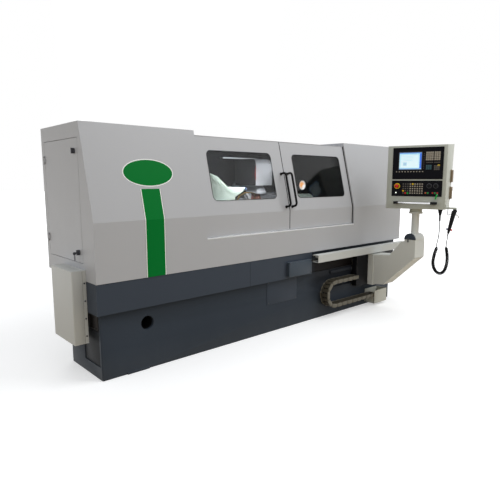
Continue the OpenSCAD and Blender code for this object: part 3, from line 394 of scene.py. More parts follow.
@dataclass(frozen=True)
class LampGlow(Finish):
    """The round lamp's lens: a warm middle, a white edge below and a pale rim."""

    centre: Pair = (0.713, 1.345)
    radius: float = 0.053
    strength: float = 1.6

    def build(self, graph: Graph) -> None:
        """Soft spots of light laid out round the lens's own middle.

        Args:
            graph: the material's tree.
        """
        x, _, z = graph.axes()
        across = (x - self.centre[0]) * (1 / self.radius)
        up = (z - self.centre[1]) * (1 / self.radius)

        def spot(left: float, high: float, reach: float) -> Wire:
            """One at a spot, falling to nought at its reach."""
            a, b = across - left, up - high
            away = graph.maths("SQRT", a * a + b * b)
            return graph.maths("MAXIMUM", 1 - away * (1 / reach), 0.0)

        shade: Wire | Colour = srgb(186, 200, 212)
        for strength, colour in (
                (spot(0.0, 0.0, 1.0) * 1.6 + graph.noise(90.0, 2.0) * 0.3, (244, 222, 196)),
                (spot(-0.3, 0.1, 0.8) * 1.8, (250, 176, 104)),
                (spot(0.4, -0.4, 0.7) * 2.2, (255, 255, 255))):
            shade = graph.blend(graph.clamp(strength), shade, srgb(*colour))
        graph.glow(shade, 0.3, self.strength)


@dataclass(frozen=True)
class Display(Finish):
    """The lit screen: fields of colour, a frame and a plotted outline."""

    strength: float = 0.9

    def build(self, graph: Graph) -> None:
        """Fields and lines laid out on the screen's own UV map.

        Args:
            graph: the material's tree.
        """
        across, up, _ = graph.axes("UV")

        def within(left: float, right: float, low: float, high: float) -> Wire:
            """One inside a rectangle of the screen."""
            return ((across > left) * (across < right)) * ((up > low) * (up < high))

        rows = ((up * 13.0).fraction() > 0.72) * ((across * 31.0).fraction() > 0.25)
        shade = graph.blend(up, srgb(206, 238, 246), srgb(168, 216, 238))
        for share, colour in ((across > 0.91, (52, 112, 226)), (up > 0.93, (96, 150, 224)),
                              (up < 0.07, (128, 176, 226)),
                              (within(0.08, 0.86, 0.14, 0.86) * 0.55, (232, 246, 250)),
                              (rows * within(0.14, 0.6, 0.5, 0.8) * 0.45, (86, 150, 196)),
                              (within(0.18, 0.34, 0.22, 0.42) * 0.5, (76, 140, 190))):
            shade = graph.blend(share, shade, srgb(*colour))
        graph.glow(shade, 0.12, self.strength)


@dataclass(frozen=True)
class Abrasive(Finish):
    """Bonded grinding wheel with its open grain."""

    def build(self, graph: Graph) -> None:
        """Speckles of grit in a matt bond."""
        grit = graph.noise(700.0, 3.0)
        graph.set(Base_Color=graph.blend(grit, self.shade(0.5), self.shade(1.5)),
                  Roughness=0.8 + (grit - 0.5) * 0.2)
        graph.bump(grit, 0.6, 0.0006)


def powder(name: str, colour: Colour, cloud: float = 0.035) -> Coating:
    """The fine matt powder coat of the beige and grey parts."""
    return Coating(name, colour, "beige_paint", 0.45, grain=650.0, cloud=cloud)


def cap(name: str, colour: Colour, slot: str = "black_plastic", roughness: float = 0.5) -> Moulding:
    """The plastic of a key or a button."""
    return Moulding(name, colour, slot, roughness)


class Shop:
    """Every finish of the machine."""

    SHEET = Coating("sheet_grey", srgb(174, 175, 178), "enclosure_paint", 0.42, cloud=0.035)
    ROOF = Coating("roof_grey", srgb(174, 175, 178), "enclosure_paint", 0.45, cloud=0.03)
    SILL = Coating("sill_white", srgb(228, 230, 232), "enclosure_paint", 0.35, cloud=0.02)
    SLATE = Coating("slate", srgb(60, 67, 77), "slate_paint", 0.36, cloud=0.08,
                    gloss_spread=0.16, specular=0.1)
    BOX = Coating("box_slate", srgb(66, 75, 85), "slate_paint", 0.34, specular=0.15)
    # A darker slate for the plate at the back of the end pocket: painted shade of the recess.
    POCKET_SHADE = Coating("pocket_shade_slate", srgb(46, 48, 51), "slate_paint", 0.45, cloud=0.08,
                    specular=0.08)
    # The bed's front right of x 0.27 carries painted shade of the recess under the rail, with oil.
    BED = Coating("bed_slate", srgb(54, 61, 70), "bed_paint", 0.38, grain=90.0,
                  grain_depth=0.0012, cloud=0.10, gloss_spread=0.2, floor_dust=0.08,
                  specular=0.08, shade_and_oil_from=0.27)
    BEIGE = powder("beige_grey", srgb(190, 191, 187))
    # A lighter copy of the beige-grey paint for the arm and post: painted light that makes up for the
    # shade on the arm's side.
    LIT_ARM = powder("arm_grey_lit", srgb(214, 216, 211))
    RAIL = powder("rail_grey", srgb(196, 198, 195))
    HOUSING = powder("housing_beige", srgb(182, 185, 175), 0.03)
    TROUGH = powder("trough_beige", srgb(192, 192, 182), 0.03)
    GREEN = Coating("stripe_green", srgb(0, 112, 44), "enclosure_paint", grain=1200.0,
                    cloud=0.04, specular=0.06)
    WHITE = Coating("stripe_white", srgb(236, 239, 236), "enclosure_paint", grain=1200.0,
                    cloud=0.02)
    HANDLE = Coating("handle_black", srgb(15, 15, 16), "black_plastic", 0.5, grain=900.0,
                     specular=0.12)
    DARK = Coating("chamber_dark", srgb(38, 39, 41), "chamber_paint", 0.5, cloud=0.12,
                   specular=0.2)
    BLACK_STEEL = Coating("black_steel", srgb(22, 22, 24), "black_steel", 0.35, grain=900.0,
                          cloud=0.1, specular=0.25)
    NOSE_BLUE = Coating("nose_blue", srgb(60, 84, 128), "casting_paint")
    WHEELHEAD = Casting("wheelhead_grey", srgb(196, 200, 206), "wheelhead_paint")
    PALE = Casting("pale_green", srgb(214, 232, 220), "casting_paint", 0.4)
    STEEL = GroundMetal("ground_steel", srgb(196, 198, 200), "ground_steel")
    BRIGHT = GroundMetal("bright_tube", srgb(232, 232, 234), "handle_steel", 0.18,
                         (1.0, 1.0, 0.04))
    BRASS = GroundMetal("brass", srgb(196, 160, 88), "ground_steel", 0.3)
    PANE = Pane("tinted_pane", srgb(20, 23, 25), "window_glass")
    TUBE = Glow("tube_light", srgb(226, 232, 238), "lamp_glass", 0.9)
    LED = Glow("white_led", srgb(240, 250, 236), "lamp_glass", 1.2)
    LAMP = LampGlow("round_lamp", srgb(255, 240, 214), "lamp_glass")
    SCREEN = Display("display", srgb(200, 232, 244), "lamp_glass", 0.5)
    WHEEL = Abrasive("grinding_wheel", srgb(150, 98, 84), "abrasive")
    FOIL = Moulding("black_foil", srgb(14, 14, 19), "black_plastic", 0.36, 800.0, 0.05)
    KEY = cap("key_beige", srgb(168, 160, 146))
    KEY_DARK = cap("key_dark", srgb(84, 80, 74))
    KEY_DIM = cap("key_dim", srgb(70, 64, 60))
    TEAL = cap("key_teal", srgb(52, 84, 90))
    YELLOW = cap("yellow", srgb(236, 196, 22), roughness=0.35)
    CLIP = cap("clip_grey", srgb(208, 208, 204), roughness=0.45)
    BROWN = cap("cable_block", srgb(46, 42, 40), roughness=0.6)
    RED = cap("red", srgb(206, 26, 20), "red_plastic", 0.3)
    RIM = cap("rim_red", srgb(112, 14, 24), "red_plastic", 0.4)
    GREEN_KEY = cap("green", srgb(16, 168, 66), "green_plastic", 0.35)
    ORANGE = cap("orange", srgb(226, 106, 26), "orange_plastic", 0.35)
    BLUE = cap("blue", srgb(24, 30, 96), "blue_plastic", 0.35)
    KHAKI = cap("khaki", srgb(126, 110, 88), "khaki_plastic", 0.55)
    CHAIN = Moulding("chain", srgb(106, 102, 90), "chain_plastic", 0.45, 700.0)
    CHAIN_DARK = Moulding("chain_bars", srgb(66, 61, 50), "chain_plastic", 0.5, 700.0)
    RUBBER = Moulding("rubber", srgb(14, 14, 15), "cord_rubber", 0.6, 900.0, 0.12)
    SEAL = Moulding("seal_grey", srgb(66, 66, 68), "cord_rubber", 0.6, 900.0, 0.12)
    BLACK = Moulding("black_plastic", srgb(18, 18, 20), "black_plastic", 0.45, 1500.0, 0.2)


# ---------- hand tools ----------


class Axis(Enum):
    """The direction that a round piece points in: its turn, and one step along it."""

    X = ((0.0, math.pi / 2, 0.0), (1, 0, 0))
    Y = ((math.pi / 2, 0.0, 0.0), (0, 1, 0))


def linked(piece: Obj) -> Obj:
    """Put an object into the scene."""
    bpy.context.scene.collection.objects.link(piece)
    return piece


class Bench:
    """Modelling steps, each done as by hand.

    CURVE_LIMIT is the angle up to which a round surface looks smooth, and CORNER_STEPS the
    number of faces round a plate's corner.
    """

    CURVE_LIMIT = math.radians(40)
    CORNER_STEPS = 8

    @staticmethod
    def only(*pieces: Obj) -> None:
        """Select some pieces and nothing else, the first one active."""
        bpy.ops.object.select_all(action="DESELECT")
        for piece in pieces:
            piece.select_set(True)
        if pieces:
            bpy.context.view_layer.objects.active = pieces[0]

    @staticmethod
    @contextmanager
    def editing(piece: Obj, action: str = "DESELECT") -> Iterator[bmesh.types.BMesh]:
        """Edit mode on one piece.

        Args:
            piece: the piece.
            action: DESELECT for nothing selected, SELECT for everything.

        Yields:
            The mesh that is edited.
        """
        Bench.only(piece)
        bpy.ops.object.mode_set(mode="EDIT")
        bpy.ops.mesh.select_mode(type="FACE")
        bpy.ops.mesh.select_all(action=action)
        yield bmesh.from_edit_mesh(piece.data)
        bpy.ops.object.mode_set(mode="OBJECT")

    @staticmethod
    def pick(mesh: bmesh.types.BMesh, piece: Obj,
             test: Callable[[Vector, Vector], bool]) -> None:
        """Select some faces.

        Args:
            mesh: the mesh in edit mode.
            piece: the piece it belongs to.
            test: says of a face's middle and normal whether it is meant.
        """
        for face in mesh.faces:
            face.select_set(test(face.calc_center_median(), face.normal))
        bmesh.update_edit_mesh(piece.data)

    @staticmethod
    def pick_edges(mesh: bmesh.types.BMesh, piece: Obj,
                   test: Callable[[Vector, Vector], bool]) -> None:
        """Select some edges.

        Args:
            mesh: the mesh in edit mode.
            piece: the piece it belongs to.
            test: says of an edge's two ends whether it is meant.
        """
        bpy.ops.mesh.select_mode(type="EDGE")
        for edge in mesh.edges:
            edge.select_set(test(edge.verts[0].co, edge.verts[1].co))
        bmesh.update_edit_mesh(piece.data)

    @staticmethod
    def extrude(step: Point) -> None:
        """Extrude what is selected by one step."""
        bpy.ops.mesh.extrude_region_move(TRANSFORM_OT_translate={"value": step})

    @staticmethod
    def freeze(piece: Obj) -> Obj:
        """Apply the piece's place to its mesh."""
        Bench.only(piece)
        bpy.ops.object.transform_apply(location=True, rotation=True, scale=True)
        return piece

    @staticmethod
    def made(name: str) -> Obj:
        """Name the piece that was just added, and apply its place."""
        piece = bpy.context.active_object
        piece.name = name
        return Bench.freeze(piece)

    @staticmethod
    def soften(piece: Obj, width: float, segments: int = 2, limit: float = 35.0) -> Obj:
        """Round the sharp edges of a piece.

        Args:
            piece: the piece.
            width: how wide the soft edges are.
            segments: faces across a soft edge.
            limit: the angle in degrees from which an edge is sharp.

        Returns:
            The same piece.
        """
        Bench.only(piece)
        bevel = piece.modifiers.new("edges", "BEVEL")
        bevel.width = width
        bevel.segments = segments
        bevel.limit_method = "ANGLE"
        bevel.angle_limit = math.radians(limit)
        bpy.ops.object.modifier_apply(modifier=bevel.name)
        bpy.ops.object.shade_smooth_by_angle(angle=math.radians(limit))
        return piece

    @staticmethod
    def block(name: str, low: Point, high: Point, edge: float = 0.0, segments: int = 2) -> Obj:
        """A block between two corners.

        Args:
            name: the piece's name.
            low: lowest corner.
            high: highest corner.
            edge: width of its soft edges, or nought.
            segments: faces across a soft edge.

        Returns:
            The block.
        """
        low, high = Vector(low), Vector(high)
        Bench.only()
        bpy.ops.mesh.primitive_cube_add(size=1, location=(low + high) / 2, scale=high - low)
        piece = Bench.made(name)
        return Bench.soften(piece, edge, segments) if edge else piece

    @staticmethod
    def upright(name: str, across: Pair, up: Pair, y: float) -> Obj:
        """A flat rectangle in X and Z that faces the operator.

        Args:
            name: the piece's name.
            across: its left and right edge.
            up: its lower and upper edge.
            y: where it stands.

        Returns:
            The rectangle.
        """
        Bench.only()
        bpy.ops.mesh.primitive_plane_add(size=1, rotation=(math.pi / 2, 0, 0),
                                         location=(sum(across) / 2, y, sum(up) / 2))
        bpy.context.active_object.scale = (across[1] - across[0], up[1] - up[0], 1.0)
        return Bench.made(name)

    @staticmethod
    def rod(name: str, radius: float, start: Point, length: float, axis: Axis, sides: int) -> Obj:
        """A round bar.

        Args:
            name: the piece's name.
            radius: half its thickness.
            start: the middle of its first end.
            length: how far it reaches.
            axis: the direction it reaches in.
            sides: faces round it.

        Returns:
            The bar.
        """
        turn, step = axis.value
        centre = Vector(start) + Vector(step) * (length / 2)
        Bench.only()
        bpy.ops.mesh.primitive_cylinder_add(radius=radius, depth=abs(length), vertices=sides,
                                            location=centre, rotation=turn)
        return Bench.made(name)

    @staticmethod
    def turned(name: str, profile: Sequence[Pair], steps: int = 40) -> Obj:
        """A piece turned about the Z axis.

        Args:
            name: the piece's name.
            profile: (radius, height) points from the axis at the top to the axis at the foot.
            steps: faces round the piece.

        Returns:
            The turned piece.
        """
        Bench.only()
        bpy.ops.mesh.primitive_plane_add(size=0.002, location=(0, 0, 0))
        piece = bpy.context.active_object
        piece.name = name
        bpy.ops.object.mode_set(mode="EDIT")
        bpy.ops.mesh.merge(type="CENTER")
        bpy.ops.mesh.select_mode(type="VERT")
        bpy.ops.mesh.select_all(action="SELECT")
        last = (0.0, 0.0)
        for index, (radius, height) in enumerate(profile):
            move = (radius - last[0], 0, height - last[1])
            if index == 0:
                bpy.ops.transform.translate(value=move)
            else:
                Bench.extrude(move)
            last = (radius, height)
        bpy.ops.mesh.select_all(action="SELECT")
        bpy.ops.mesh.spin(steps=steps, angle=2 * math.pi, center=(0, 0, 0), axis=(0, 0, 1))
        bpy.ops.mesh.select_all(action="SELECT")
        bpy.ops.mesh.remove_doubles(threshold=1e-5)
        bpy.ops.mesh.normals_make_consistent(inside=False)
        bpy.ops.object.mode_set(mode="OBJECT")
        Bench.only(piece)
        bpy.ops.object.shade_smooth_by_angle(angle=Bench.CURVE_LIMIT)
        return piece

    @staticmethod
    def drawn(name: str, points: Sequence[Point], radius: float, sides: int) -> Obj:
        """A curve with a round section.

        Args:
            name: the piece's name.
            points: the points it runs through.
            radius: half its thickness.
            sides: how finely its section is cut.

        Returns:
            The curve.
        """
        curve = bpy.data.curves.new(name, "CURVE")
        curve.dimensions = "3D"
        curve.bevel_depth = radius
        curve.bevel_resolution = sides
        curve.use_fill_caps = True
        spline = curve.splines.new("POLY")
        spline.points.add(len(points) - 1)
        for knot, point in zip(spline.points, points):
            knot.co = (*point, 1.0)
        return linked(bpy.data.objects.new(name, curve))

    @staticmethod
    def tube(name: str, points: Sequence[Point], radius: float, sides: int = 4) -> Obj:
        """A round bar along a line, made a mesh with closed ends.

        Args:
            name: the piece's name.
            points: the points of its line.
            radius: half its thickness.
            sides: how finely its section is cut.

        Returns:
            The bar.
        """
        Bench.only(Bench.drawn(name, points, radius, sides))
        bpy.ops.object.convert(target="MESH")
        piece = bpy.context.active_object
        with Bench.editing(piece, "SELECT"):
            bpy.ops.mesh.remove_doubles(threshold=WELD)
            bpy.ops.mesh.normals_make_consistent(inside=False)
        Bench.only(piece)
        bpy.ops.object.shade_smooth_by_angle(angle=Bench.CURVE_LIMIT)
        return piece

    @staticmethod
    def plate(name: str, low: Point, high: Point, corner: float, edge: float = 0.0) -> Obj:
        """An upright plate in X and Z with round corners.

        Args:
            name: the piece's name.
            low: lowest corner.
            high: highest corner.
            corner: radius of the four corners.
            edge: width of the bevel round the front.

        Returns:
            The plate.
        """
        piece = Bench.block(name, low, high)
        with Bench.editing(piece) as mesh:
            Bench.pick_edges(mesh, piece, lambda a, b: abs(a.x - b.x) < ALIKE
                             and abs(a.z - b.z) < ALIKE)
            bpy.ops.mesh.bevel(offset=corner, segments=Bench.CORNER_STEPS, affect="EDGES")
        return Bench.soften(piece, edge, 2, 50.0) if edge else piece

    @staticmethod
    def ring(name: str, low: Point, high: Point, corner: float, width: float) -> Obj:
        """A flat frame in X and Z with round corners.

        Args:
            name: the piece's name.
            low: lowest corner.
            high: highest corner.
            corner: radius of the outer corners.
            width: from its edge to its opening.

        Returns:
            The frame.
        """
        piece = Bench.plate(name, low, high, corner)
        with Bench.editing(piece) as mesh:
            Bench.pick(mesh, piece, lambda place, normal: abs(normal.y) > 0.9)
            bpy.ops.mesh.inset(thickness=width)
            bpy.ops.mesh.bridge_edge_loops()
        return piece

    @staticmethod
    def copied(piece: Obj, name: str, place: Matrix) -> Obj:
        """A copy with its own mesh, moved by a matrix."""
        twin = piece.copy()
        twin.data = piece.data.copy()
        twin.name = name
        twin.data.transform(place)
        return linked(twin)

    @staticmethod
    def joined(name: str, pieces: Sequence[Obj]) -> Obj:
        """Several pieces made one."""
        Bench.only(*pieces)
        if len(pieces) > 1:
            bpy.ops.object.join()
        piece = bpy.context.active_object
        piece.name = name
        return piece

    @staticmethod
    def laid(name: str, patterns: Sequence[Obj], places: Sequence[Matrix],
             extra: Sequence[Obj] = ()) -> Obj:
        """Copy patterns to some places, join the copies and drop the patterns.

        Args:
            name: the piece's name.
            patterns: the shapes to copy, used in turn.
            places: where the copies go.
            extra: pieces to join as they are.

        Returns:
            The joined piece.
        """
        copies = [Bench.copied(patterns[i % len(patterns)], f"{name}_{i}", place)
                  for i, place in enumerate(places)]
        for pattern in patterns:
            bpy.data.objects.remove(pattern)
        return Bench.joined(name, [*copies, *extra])

    @staticmethod
    def screws(name: str, places: Sequence[Matrix], radius: float, height: float) -> Obj:
        """The heads of cap screws, with their sockets.

        Args:
            name: the piece's name.
            places: where they stand, along -Y.
            radius: half a head's width.
            height: how far a head stands out.

        Returns:
            All heads as one piece.
        """
        head = Bench.turned(name + "_head", [
            (0.0, height * 0.45), (radius * 0.5, height * 0.45), (radius * 0.5, height),
            (radius * 0.86, height), (radius, height * 0.8), (radius, 0.0), (0.0, 0.0)], 18)
        head.data.transform(spun(90, "X"))
        return Bench.laid(name, [head], places)

    @staticmethod
    def plain(piece: Obj) -> None:
        """Drop a copy's custom values."""
        for key in list(piece.keys()):
            del piece[key]

    @staticmethod
    def rounded_node(node: str, width: float, segments: int, limit: float) -> Obj:
        """A copy of a CAD node with softened edges, which stands for it.

        Args:
            node: the CAD node.
            width: how wide the soft edges are.
            segments: faces across a soft edge.
            limit: the angle in degrees from which an edge is sharp.

        Returns:
            The copy.
        """
        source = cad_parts[node]
        piece = source.copy()
        piece.data = source.data.copy()
        piece.parent = None
        Bench.plain(piece)
        piece.name = node + "_shape"
        linked(piece)
        with Bench.editing(piece, "SELECT"):
            bpy.ops.mesh.remove_doubles(threshold=WELD)
            bpy.ops.mesh.dissolve_limited(angle_limit=math.radians(1.0))
        Bench.soften(piece, width, segments, limit)
        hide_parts(node)
        return piece


@dataclass
class Builder:
    """Shared steps of every sub-assembly, with its body and its own axes."""

    body: str = "frame"
    axes: Matrix = field(default_factory=Matrix)

    def dress(self, finish: Finish, *nodes: str) -> None:
        """Give CAD nodes their finish."""
        for node in nodes:
            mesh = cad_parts[node].data
            mesh.materials.clear()
            mesh.materials.append(finish.material())

    def paint(self, piece: Obj, finish: Finish, body: str = "", slot: str = "") -> Obj:
        """Paint a piece that is in its place, and let it ride.

        Args:
            piece: the piece.
            finish: its finish.
            body: the body it rides on, or the assembly's own.
            slot: not used.

        Returns:
            The piece.
        """
        piece.data.materials.clear()
        piece.data.materials.append(finish.material())
        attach(piece, body or self.body)
        LOG.info("%s on %s", piece.name, body or self.body)
        return piece

    def add(self, piece: Obj, finish: Finish, place: Matrix = HERE, body: str = "",
            node: str = "", slot: str = "") -> None:
        """Seat a new piece, paint it and let it ride.

        Args:
            piece: the piece.
            finish: its finish.
            place: where its mesh goes in the assembly's axes.
            body: the body it rides on, or the assembly's own.
            node: the CAD node that it stands for.
            slot: not used.
        """
        piece.data.transform(self.axes @ place)
        piece.data.update()
        if node:
            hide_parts(node)
        self.paint(piece, finish, body, slot)

    def rounded(self, node: str, finish: Finish, width: float, segments: int = 2,
                limit: float = 40.0, body: str = "") -> Obj:
        """Let a softened copy stand for a CAD node, and paint it.

        Args:
            node: the CAD node.
            finish: its finish.
            width: how wide the soft edges are.
            segments: faces across a soft edge.
            limit: the angle in degrees from which an edge is softened.
            body: the body it rides on, or the assembly's own.

        Returns:
            The copy.
        """
        return self.paint(Bench.rounded_node(node, width, segments, limit), finish, body)


# ---------- studio ----------


@dataclass
class Studio:
    """The floor, the lights and the camera."""

    eye: Point = (-3.193, -3.4045, 1.400)
    pitch: float = 81.54
    heading: float = -42.07
    lens: float = 33.82
    floor_shade: float = 0.70
    near_glow: Colour = (0.42, 0.42, 0.42, 1.0)
    bounce: Colour = (0.32, 0.225, 0.095, 1.0)
    white: Colour = (1.0, 1.0, 1.0, 1.0)
    sky: float = 0.58
    watts: float = 200.0
    tint: Point = (0.98, 0.99, 1.0)

    def camera(self) -> None:
        """Set the camera at the height and angle that the machine is looked at from."""
        data = bpy.data.cameras.new("camera")
        data.lens = self.lens
        data.sensor_width = 36.0
        data.clip_end = 100.0
        camera = linked(bpy.data.objects.new("camera", data))
        camera.location = self.eye
        camera.rotation_euler = (math.radians(self.pitch), 0.0, math.radians(self.heading))
        bpy.context.scene.camera = camera

    def lamp(self, name: str, place: Point, aim: Point, size: float, watts: float,
             seen: bool = True) -> None:
        """Hang one soft box.

        Args:
            name: the lamp's name.
            place: where it hangs.
            aim: the point that it faces.
            size: the edge of its square.
            watts: its power.
            seen: whether glass and metal may mirror it.
        """
        data = bpy.data.lights.new(name, "AREA")
        data.shape = "SQUARE"
        data.size = size
        data.energy = watts
        data.color = self.tint
        lamp = linked(bpy.data.objects.new(name, data))
        lamp.location = place
        lamp.rotation_euler = (Vector(aim) - Vector(place)).to_track_quat("-Z", "Y").to_euler()
        lamp.visible_camera = lamp.visible_glossy = lamp.visible_transmission = seen

    def world(self) -> None:
        """A white surround to the eye, and a dimmer sky for the light on the object."""
        world = bpy.data.worlds.new("surround")
        bpy.context.scene.world = world
        graph = Graph(world)
        lit = graph.node("ShaderNodeBackground", {
            "Color": (0.93, 0.96, 1.0, 1.0), "Strength": self.sky})
        seen = graph.node("ShaderNodeBackground", {"Color": self.white, "Strength": 1.0})
        mixed = graph.node("ShaderNodeMixShader", {0: graph.backdrop(), 1: lit, 2: seen})
        graph.feed(graph.output.inputs["Surface"], mixed)

    def floor(self) -> None:
        """A pale floor that keeps the machine's shadow and fades to white far away."""
        Bench.only()
        bpy.ops.mesh.primitive_plane_add(size=120, location=(0, 0, -0.0015))
        floor = Bench.made("studio_floor")
        paint = bpy.data.materials.new("floor")
        graph = Graph(paint)
        seen = graph.backdrop()
        x, y, _ = graph.axes()
        away = graph.clamp((x * x + y * y) * 0.02 - 0.12)
        shade = self.floor_shade
        pale = graph.blend(graph.noise(0.6, 2.0), (shade, shade, shade, 1.0),
                           (shade * 0.99, shade * 0.985, shade * 0.97, 1.0))
        glow = graph.blend(away, self.near_glow, self.white)
        graph.set(Base_Color=graph.blend(seen, self.bounce, pale), Roughness=0.8,
                  Emission_Color=graph.blend(seen, (0.0, 0.0, 0.0, 1.0), glow),
                  Emission_Strength=1.0)
        floor.data.materials.append(paint)

    def build(self) -> None:
        """Set up everything round the machine."""
        self.camera()
        self.world()
        self.floor()
        aim, watts = (0.0, -0.3, 0.9), self.watts
        self.lamp("key_light", (-2.0, -6.0, 5.5), aim, 5.0, watts * 0.38)
        self.lamp("front_light", (5.0, -6.0, 4.5), aim, 5.0, watts * 0.28)
        self.lamp("side_light", (-7.0, 0.5, 4.0), aim, 4.0, watts * 0.24)
        self.lamp("rear_light", (3.0, 6.0, 5.0), aim, 5.0, watts * 0.55)
        self.lamp("top_light", (2.5, -3.2, 6.5), (0.8, -0.3, 0.9), 4.0, watts * 1.1)
        self.lamp("workhead_light", (-0.30, -0.25, 1.56), (-0.5, -0.08, 1.34), 0.12, 14.0, False)
        self.lamp("wheel_light", (0.02, -0.27, 1.50), (0.02, 0.0, 1.48), 0.10, 0.8, False)
        bpy.context.scene.view_settings.view_transform = "Standard"


# ---------- cord ----------


@dataclass
class PendantFrame:
    """Where the pendant stands and how far it is turned."""

    post: Point = (1.305, -0.962, 0.0)
    turn: float = -74.0
    cord_y: float = -0.060
    foot: Pair = (0.332, 0.884)
    tilt: float = 11.0

    def matrix(self) -> Matrix:
        """From the pendant's own axes to the machine's."""
        return moved(*self.post) @ spun(self.turn, "Z")

    def handset(self) -> Matrix:
        """From the handset's own axes to the machine's."""
        x, z = self.foot
        return self.matrix() @ moved(x, self.cord_y, z) @ spun(self.tilt, "Y")


@dataclass
class CurlyCord(Builder):
    """The handset's cord: a lead, a curly stretch and a lead, all one cord."""

    body: str = "pendant"
    radius: float = 0.0042
    coil_radius: float = 0.0165
    pitch: float = 0.0090
    turn_points: int = 14
    lead_steps: int = 5
    coil_steps: int = 24
    blend_turns: float = 1.5

    TOP = [(0.246, 1.004), (0.248, 0.930), (0.245, 0.860), (0.238, 0.800), (0.231, 0.768),
           (0.235, 0.739)]
    COIL = [(0.235, 0.739), (0.215, 0.665), (0.205, 0.591), (0.212, 0.538), (0.235, 0.493),
            (0.272, 0.473), (0.304, 0.489), (0.325, 0.530), (0.337, 0.598), (0.333, 0.675),
            (0.319, 0.745)]
    END = [(0.319, 0.745), (0.321, 0.781), (0.328, 0.846), (0.332, 0.884)]

    @staticmethod
    def smooth(route: Sequence[Pair], steps: int) -> list[Vector]:
        """Points of a smooth curve.

        Args:
            route: the places in X and Z that it runs through.
            steps: how many points there are from one place to the next.

        Returns:
            The points.
        """
        points = [Vector((x, 0.0, z)) for x, z in route]
        made: list[Vector] = []
        for index in range(len(points) - 1):
            before = points[max(index - 1, 0)]
            here, there = points[index], points[index + 1]
            after = points[min(index + 2, len(points) - 1)]
            for step in range(steps):
                t = step / steps
                made.append(0.5 * (2 * here + (there - before) * t
                                   + (2 * before - 5 * here + 4 * there - after) * t * t
                                   + (3 * here - before - 3 * there + after) * t ** 3))
        return made + [points[-1]]

    def helix(self) -> list[Vector]:
        """Turns of the cord about the curly stretch's own line."""
        line = self.smooth(self.COIL, self.coil_steps)
        spans = [0.0]
        for a, b in zip(line, line[1:]):
            spans.append(spans[-1] + (b - a).length)
        total = spans[-1]
        turns = round(total / self.pitch)
        count = turns * self.turn_points
        side = Vector((0, 1, 0))
        made: list[Vector] = []
        cursor = 0
        for index in range(count + 1):
            share = index / count
            along = share * total
            while cursor < len(spans) - 2 and spans[cursor + 1] < along:
                cursor += 1
            piece = (along - spans[cursor]) / (spans[cursor + 1] - spans[cursor])
            centre = line[cursor].lerp(line[cursor + 1], piece)
            out = (line[cursor + 1] - line[cursor]).normalized().cross(side)
            ends = min(share, 1 - share) * turns / self.blend_turns
            reach = (self.coil_radius - self.radius) * min(1.0, ends) ** 0.7
            angle = 2 * math.pi * turns * share
            made.append(centre + reach * (math.cos(angle) * out + math.sin(angle) * side))
        return made

    def build(self, home: PendantFrame) -> None:
        """Args:
            home: where the pendant stands.
        """
        line = self.smooth(self.TOP, self.lead_steps)[:-1] + self.helix()
        line += self.smooth(self.END, self.lead_steps)[1:]
        place = home.matrix() @ moved(0, home.cord_y, 0)
        points = [place @ point for point in line]
        cord = Bench.drawn("handset_cord", points, self.radius, 2)
        cord.data.splines[0].use_smooth = True
        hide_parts("cord_lead_top", "cord_coil", "cord_lead_end")
        self.paint(cord, Shop.RUBBER)
        length = sum((b - a).length for a, b in zip(points, points[1:]))
        2 * self.radius
        self.dress(Shop.RUBBER, "cord_relief")
        LOG.info("handset_cord is %.2f m long", length)


# ---------- bed and base ----------


